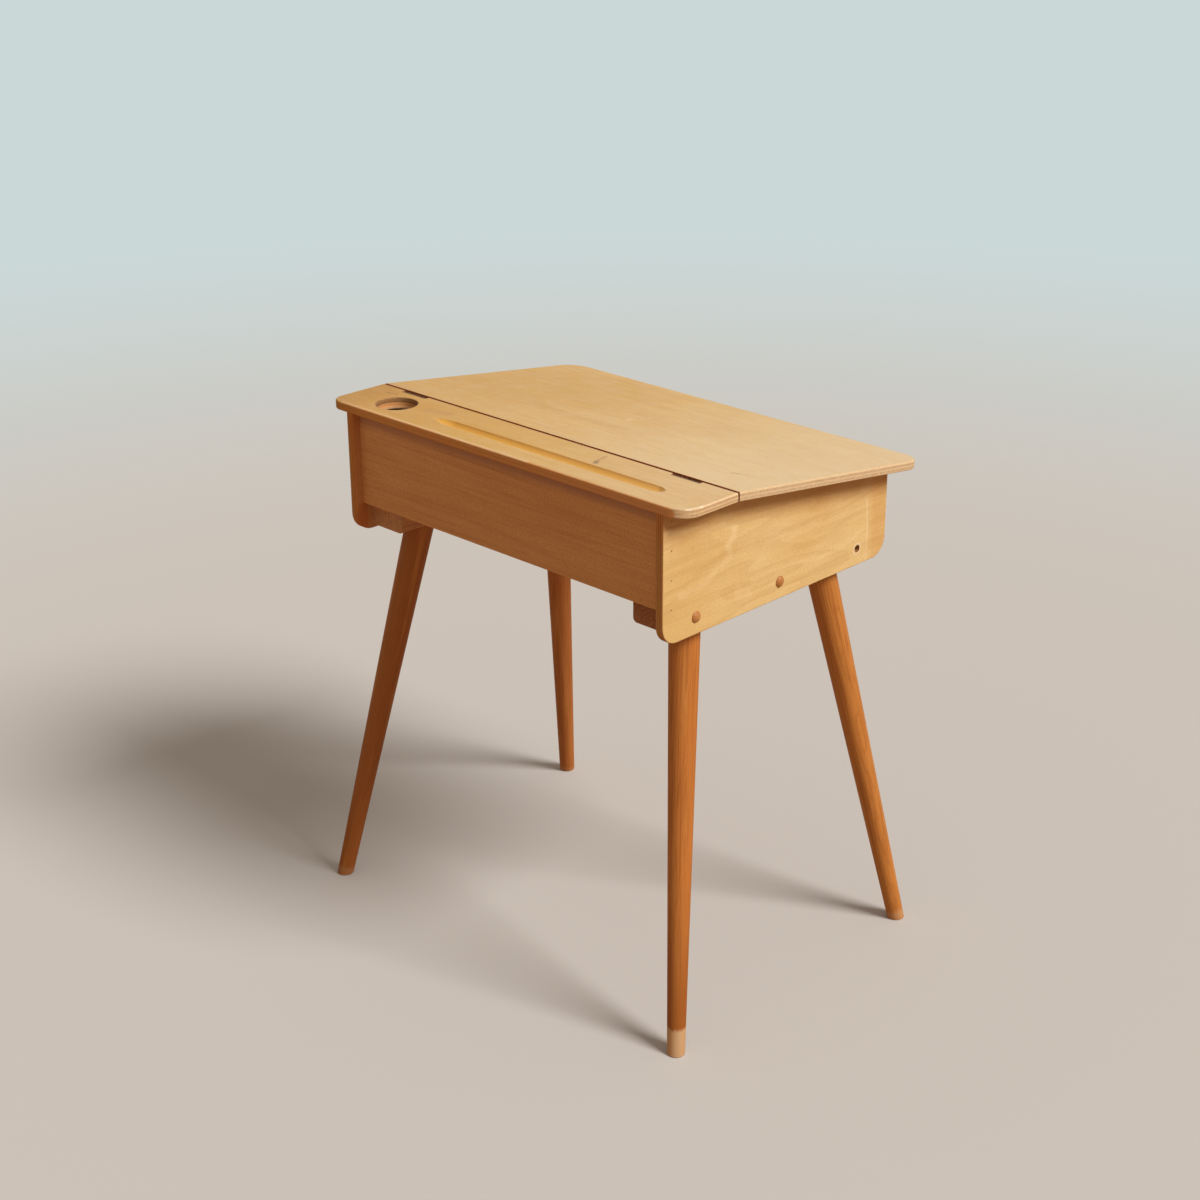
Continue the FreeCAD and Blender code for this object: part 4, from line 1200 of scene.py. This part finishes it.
@dataclass
class Fittings(SubAssembly):
    """Hinges, screws, pins, dowels and wooden caps."""

    def build(self) -> None:
        """Dresses the metal parts, the caps and the dowels."""
        hinge, pin = HINGE_BRASS.material(), PIN_BRASS.material()
        screw, wire = SCREW_STEEL.material(), WIRE_STEEL.material()
        cap, dowel = CAP_BEECH.material(), DOWEL_BEECH.material()
        for name in ("left", "right"):
            for leaf in ("fixed", "lid"):
                self.dress(f"hinge_{name}_{leaf}_leaf", hinge)
                self.dress(f"hinge_{name}_{leaf}_screws", screw)
            self.dress(f"hinge_{name}_pin", pin)
            self.dress(f"rail_screws_{name}", screw)
            self.dress(f"back_panel_pins_{name}", wire)
            self.dress(f"screw_caps_{name}", cap)
        self.dress("bottom_board_pins", wire)
        self.dress("strip_dowels", dowel)


@dataclass
class Studio:
    """Pale floor and surroundings, soft light and the camera.

    Attributes:
        floor_colour: Colour of the floor.
        bounce_colour: Colour of the light that the floor throws back.
        backdrop_colour: Colour that the floor fades into and that the camera sees beyond it.
        fill_colour: Colour of the light from all round.
        fill: Weakest and strongest of that light.
        fill_from: Direction from which it is strongest.
        key_colour: Colour of the wide soft lamp.
        key_strength: Strength of the lamp.
        key_from: Direction of the lamp from the desk.
        key_spread_deg: How wide the lamp looks from the desk.
        fade: Radii between which the floor turns into the backdrop, in metres.
        floor_radius: Radius of the floor, in metres.
        floor_sides: Corners of the round floor.
        camera_place: Where the camera stands, in metres.
        camera_turn_deg: Yaw, pitch below level and roll of the camera.
        lens_mm: Focal length for a frame as wide as sensor_mm.
        sensor_mm: Width of that frame.
    """

    floor_colour: str = "#C8C6C5"
    bounce_colour: str = "#A98F79"
    backdrop_colour: str = "#CBD8D8"
    fill_colour: str = "#FFECD8"
    fill: tuple[float, float] = (0.07, 0.43)
    fill_from: Triple = (-0.3, 0.2, 0.92)
    key_colour: str = "#FFFAF2"
    key_strength: float = 3.1
    key_from: Triple = (-0.96, -0.2, 0.9)
    key_spread_deg: float = 22.0
    fade: tuple[float, float] = (1.2, 4.5)
    floor_radius: float = 12.0
    floor_sides: int = 128
    camera_place: Triple = (-1.859906, 1.927584, 1.584029)
    camera_turn_deg: Triple = (224.448, 22.691, -0.294)
    lens_mm: float = 63.235
    sensor_mm: float = 36.0

    def add_floor(self) -> None:
        """Lays a round floor that keeps the desk's shadow and fades into the backdrop."""
        rim = [TURN * k / self.floor_sides for k in range(self.floor_sides)]
        points = [(self.floor_radius * math.cos(t), self.floor_radius * math.sin(t), 0.0) for t in rim]
        mesh = bpy.data.meshes.new("floor")
        mesh.from_pydata(points, [], [tuple(range(self.floor_sides))])
        floor = add_object("floor", mesh)
        material, add = blank_material("painted_pale_floor")
        seen = add(Node.CAMERA_RAY)
        colour = add(Node.LAYER, seen, linear(self.bounce_colour), linear(self.floor_colour))
        paint = add(Node.PAINT, colour)
        far = add(Node.LENGTH, add(Node.PLACE))
        share = add(Node.FADE, far, *self.fade, 0.0, 1.0)
        share = add(Node.TIMES, share, seen)
        glow = add(Node.GLOW, linear(self.backdrop_colour), 1.0)
        add(Node.SURFACE_END, add(Node.BLEND, share, paint, glow))
        mesh.materials.append(material)

    def add_surroundings(self) -> None:
        """Sets the light from all round and the backdrop that camera and reflections see."""
        world = bpy.data.worlds.new("surroundings")
        bpy.context.scene.world = world
        world.use_nodes = True
        world.node_tree.nodes.clear()
        add = partial(add_node, world.node_tree)
        toward = add(Node.DOT, add(Node.WAY), Vector(self.fill_from).normalized())
        strength = add(Node.FADE, toward, -0.8, 0.9, *self.fill)
        light = add(Node.SURROUND, linear(self.fill_colour), strength)
        backdrop = add(Node.SURROUND, linear(self.backdrop_colour), 1.0)
        seen = add(Node.CAMERA_RAY)
        for ray in (Node.GLOSSY_RAY, Node.TRANSMISSION_RAY):
            seen = add(Node.MOST, seen, add(ray))
        add(Node.WORLD_END, add(Node.BLEND, seen, light, backdrop))

    def add_key_lamp(self) -> None:
        """Sets the wide soft lamp far off to one side of the desk."""
        data = bpy.data.lights.new("soft_lamp", "SUN")
        data.energy = self.key_strength
        data.angle = math.radians(self.key_spread_deg)
        data.color = linear(self.key_colour)[:3]
        lamp = add_object("soft_lamp", data)
        lamp.rotation_mode = "QUATERNION"
        lamp.rotation_quaternion = Vector(self.key_from).to_track_quat("Z", "Y")

    def add_camera(self) -> None:
        """Stands the camera at the photograph's place."""
        data = bpy.data.cameras.new("camera")
        data.lens = self.lens_mm
        data.sensor_width = self.sensor_mm
        data.sensor_fit = "HORIZONTAL"
        camera = add_object("camera", data)
        yaw, pitch, roll = (math.radians(angle) for angle in self.camera_turn_deg)
        aim = Matrix.Rotation(yaw, 4, "Z") @ Matrix.Rotation(math.pi / 2 - pitch, 4, "X")
        camera.matrix_world = Matrix.Translation(self.camera_place) @ aim @ Matrix.Rotation(roll, 4, "Z")
        bpy.context.scene.camera = camera

    def build(self) -> None:
        """Builds the whole studio."""
        self.add_floor()
        self.add_surroundings()
        self.add_key_lamp()
        self.add_camera()
        bpy.context.scene.view_settings.view_transform = "Standard"


def main() -> None:
    """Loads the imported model, dresses it and builds the studio."""
    logging.basicConfig(level=logging.INFO, format="%(name)s: %(message)s")
    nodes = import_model()["nodes"]
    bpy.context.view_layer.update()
    Studio().build()
    for part in (Top(nodes), Box(nodes), Stand(nodes), Fittings(nodes)):
        part.build()
        LOG.info("%s done", type(part).__name__)


if __name__ == "__main__":
    main()
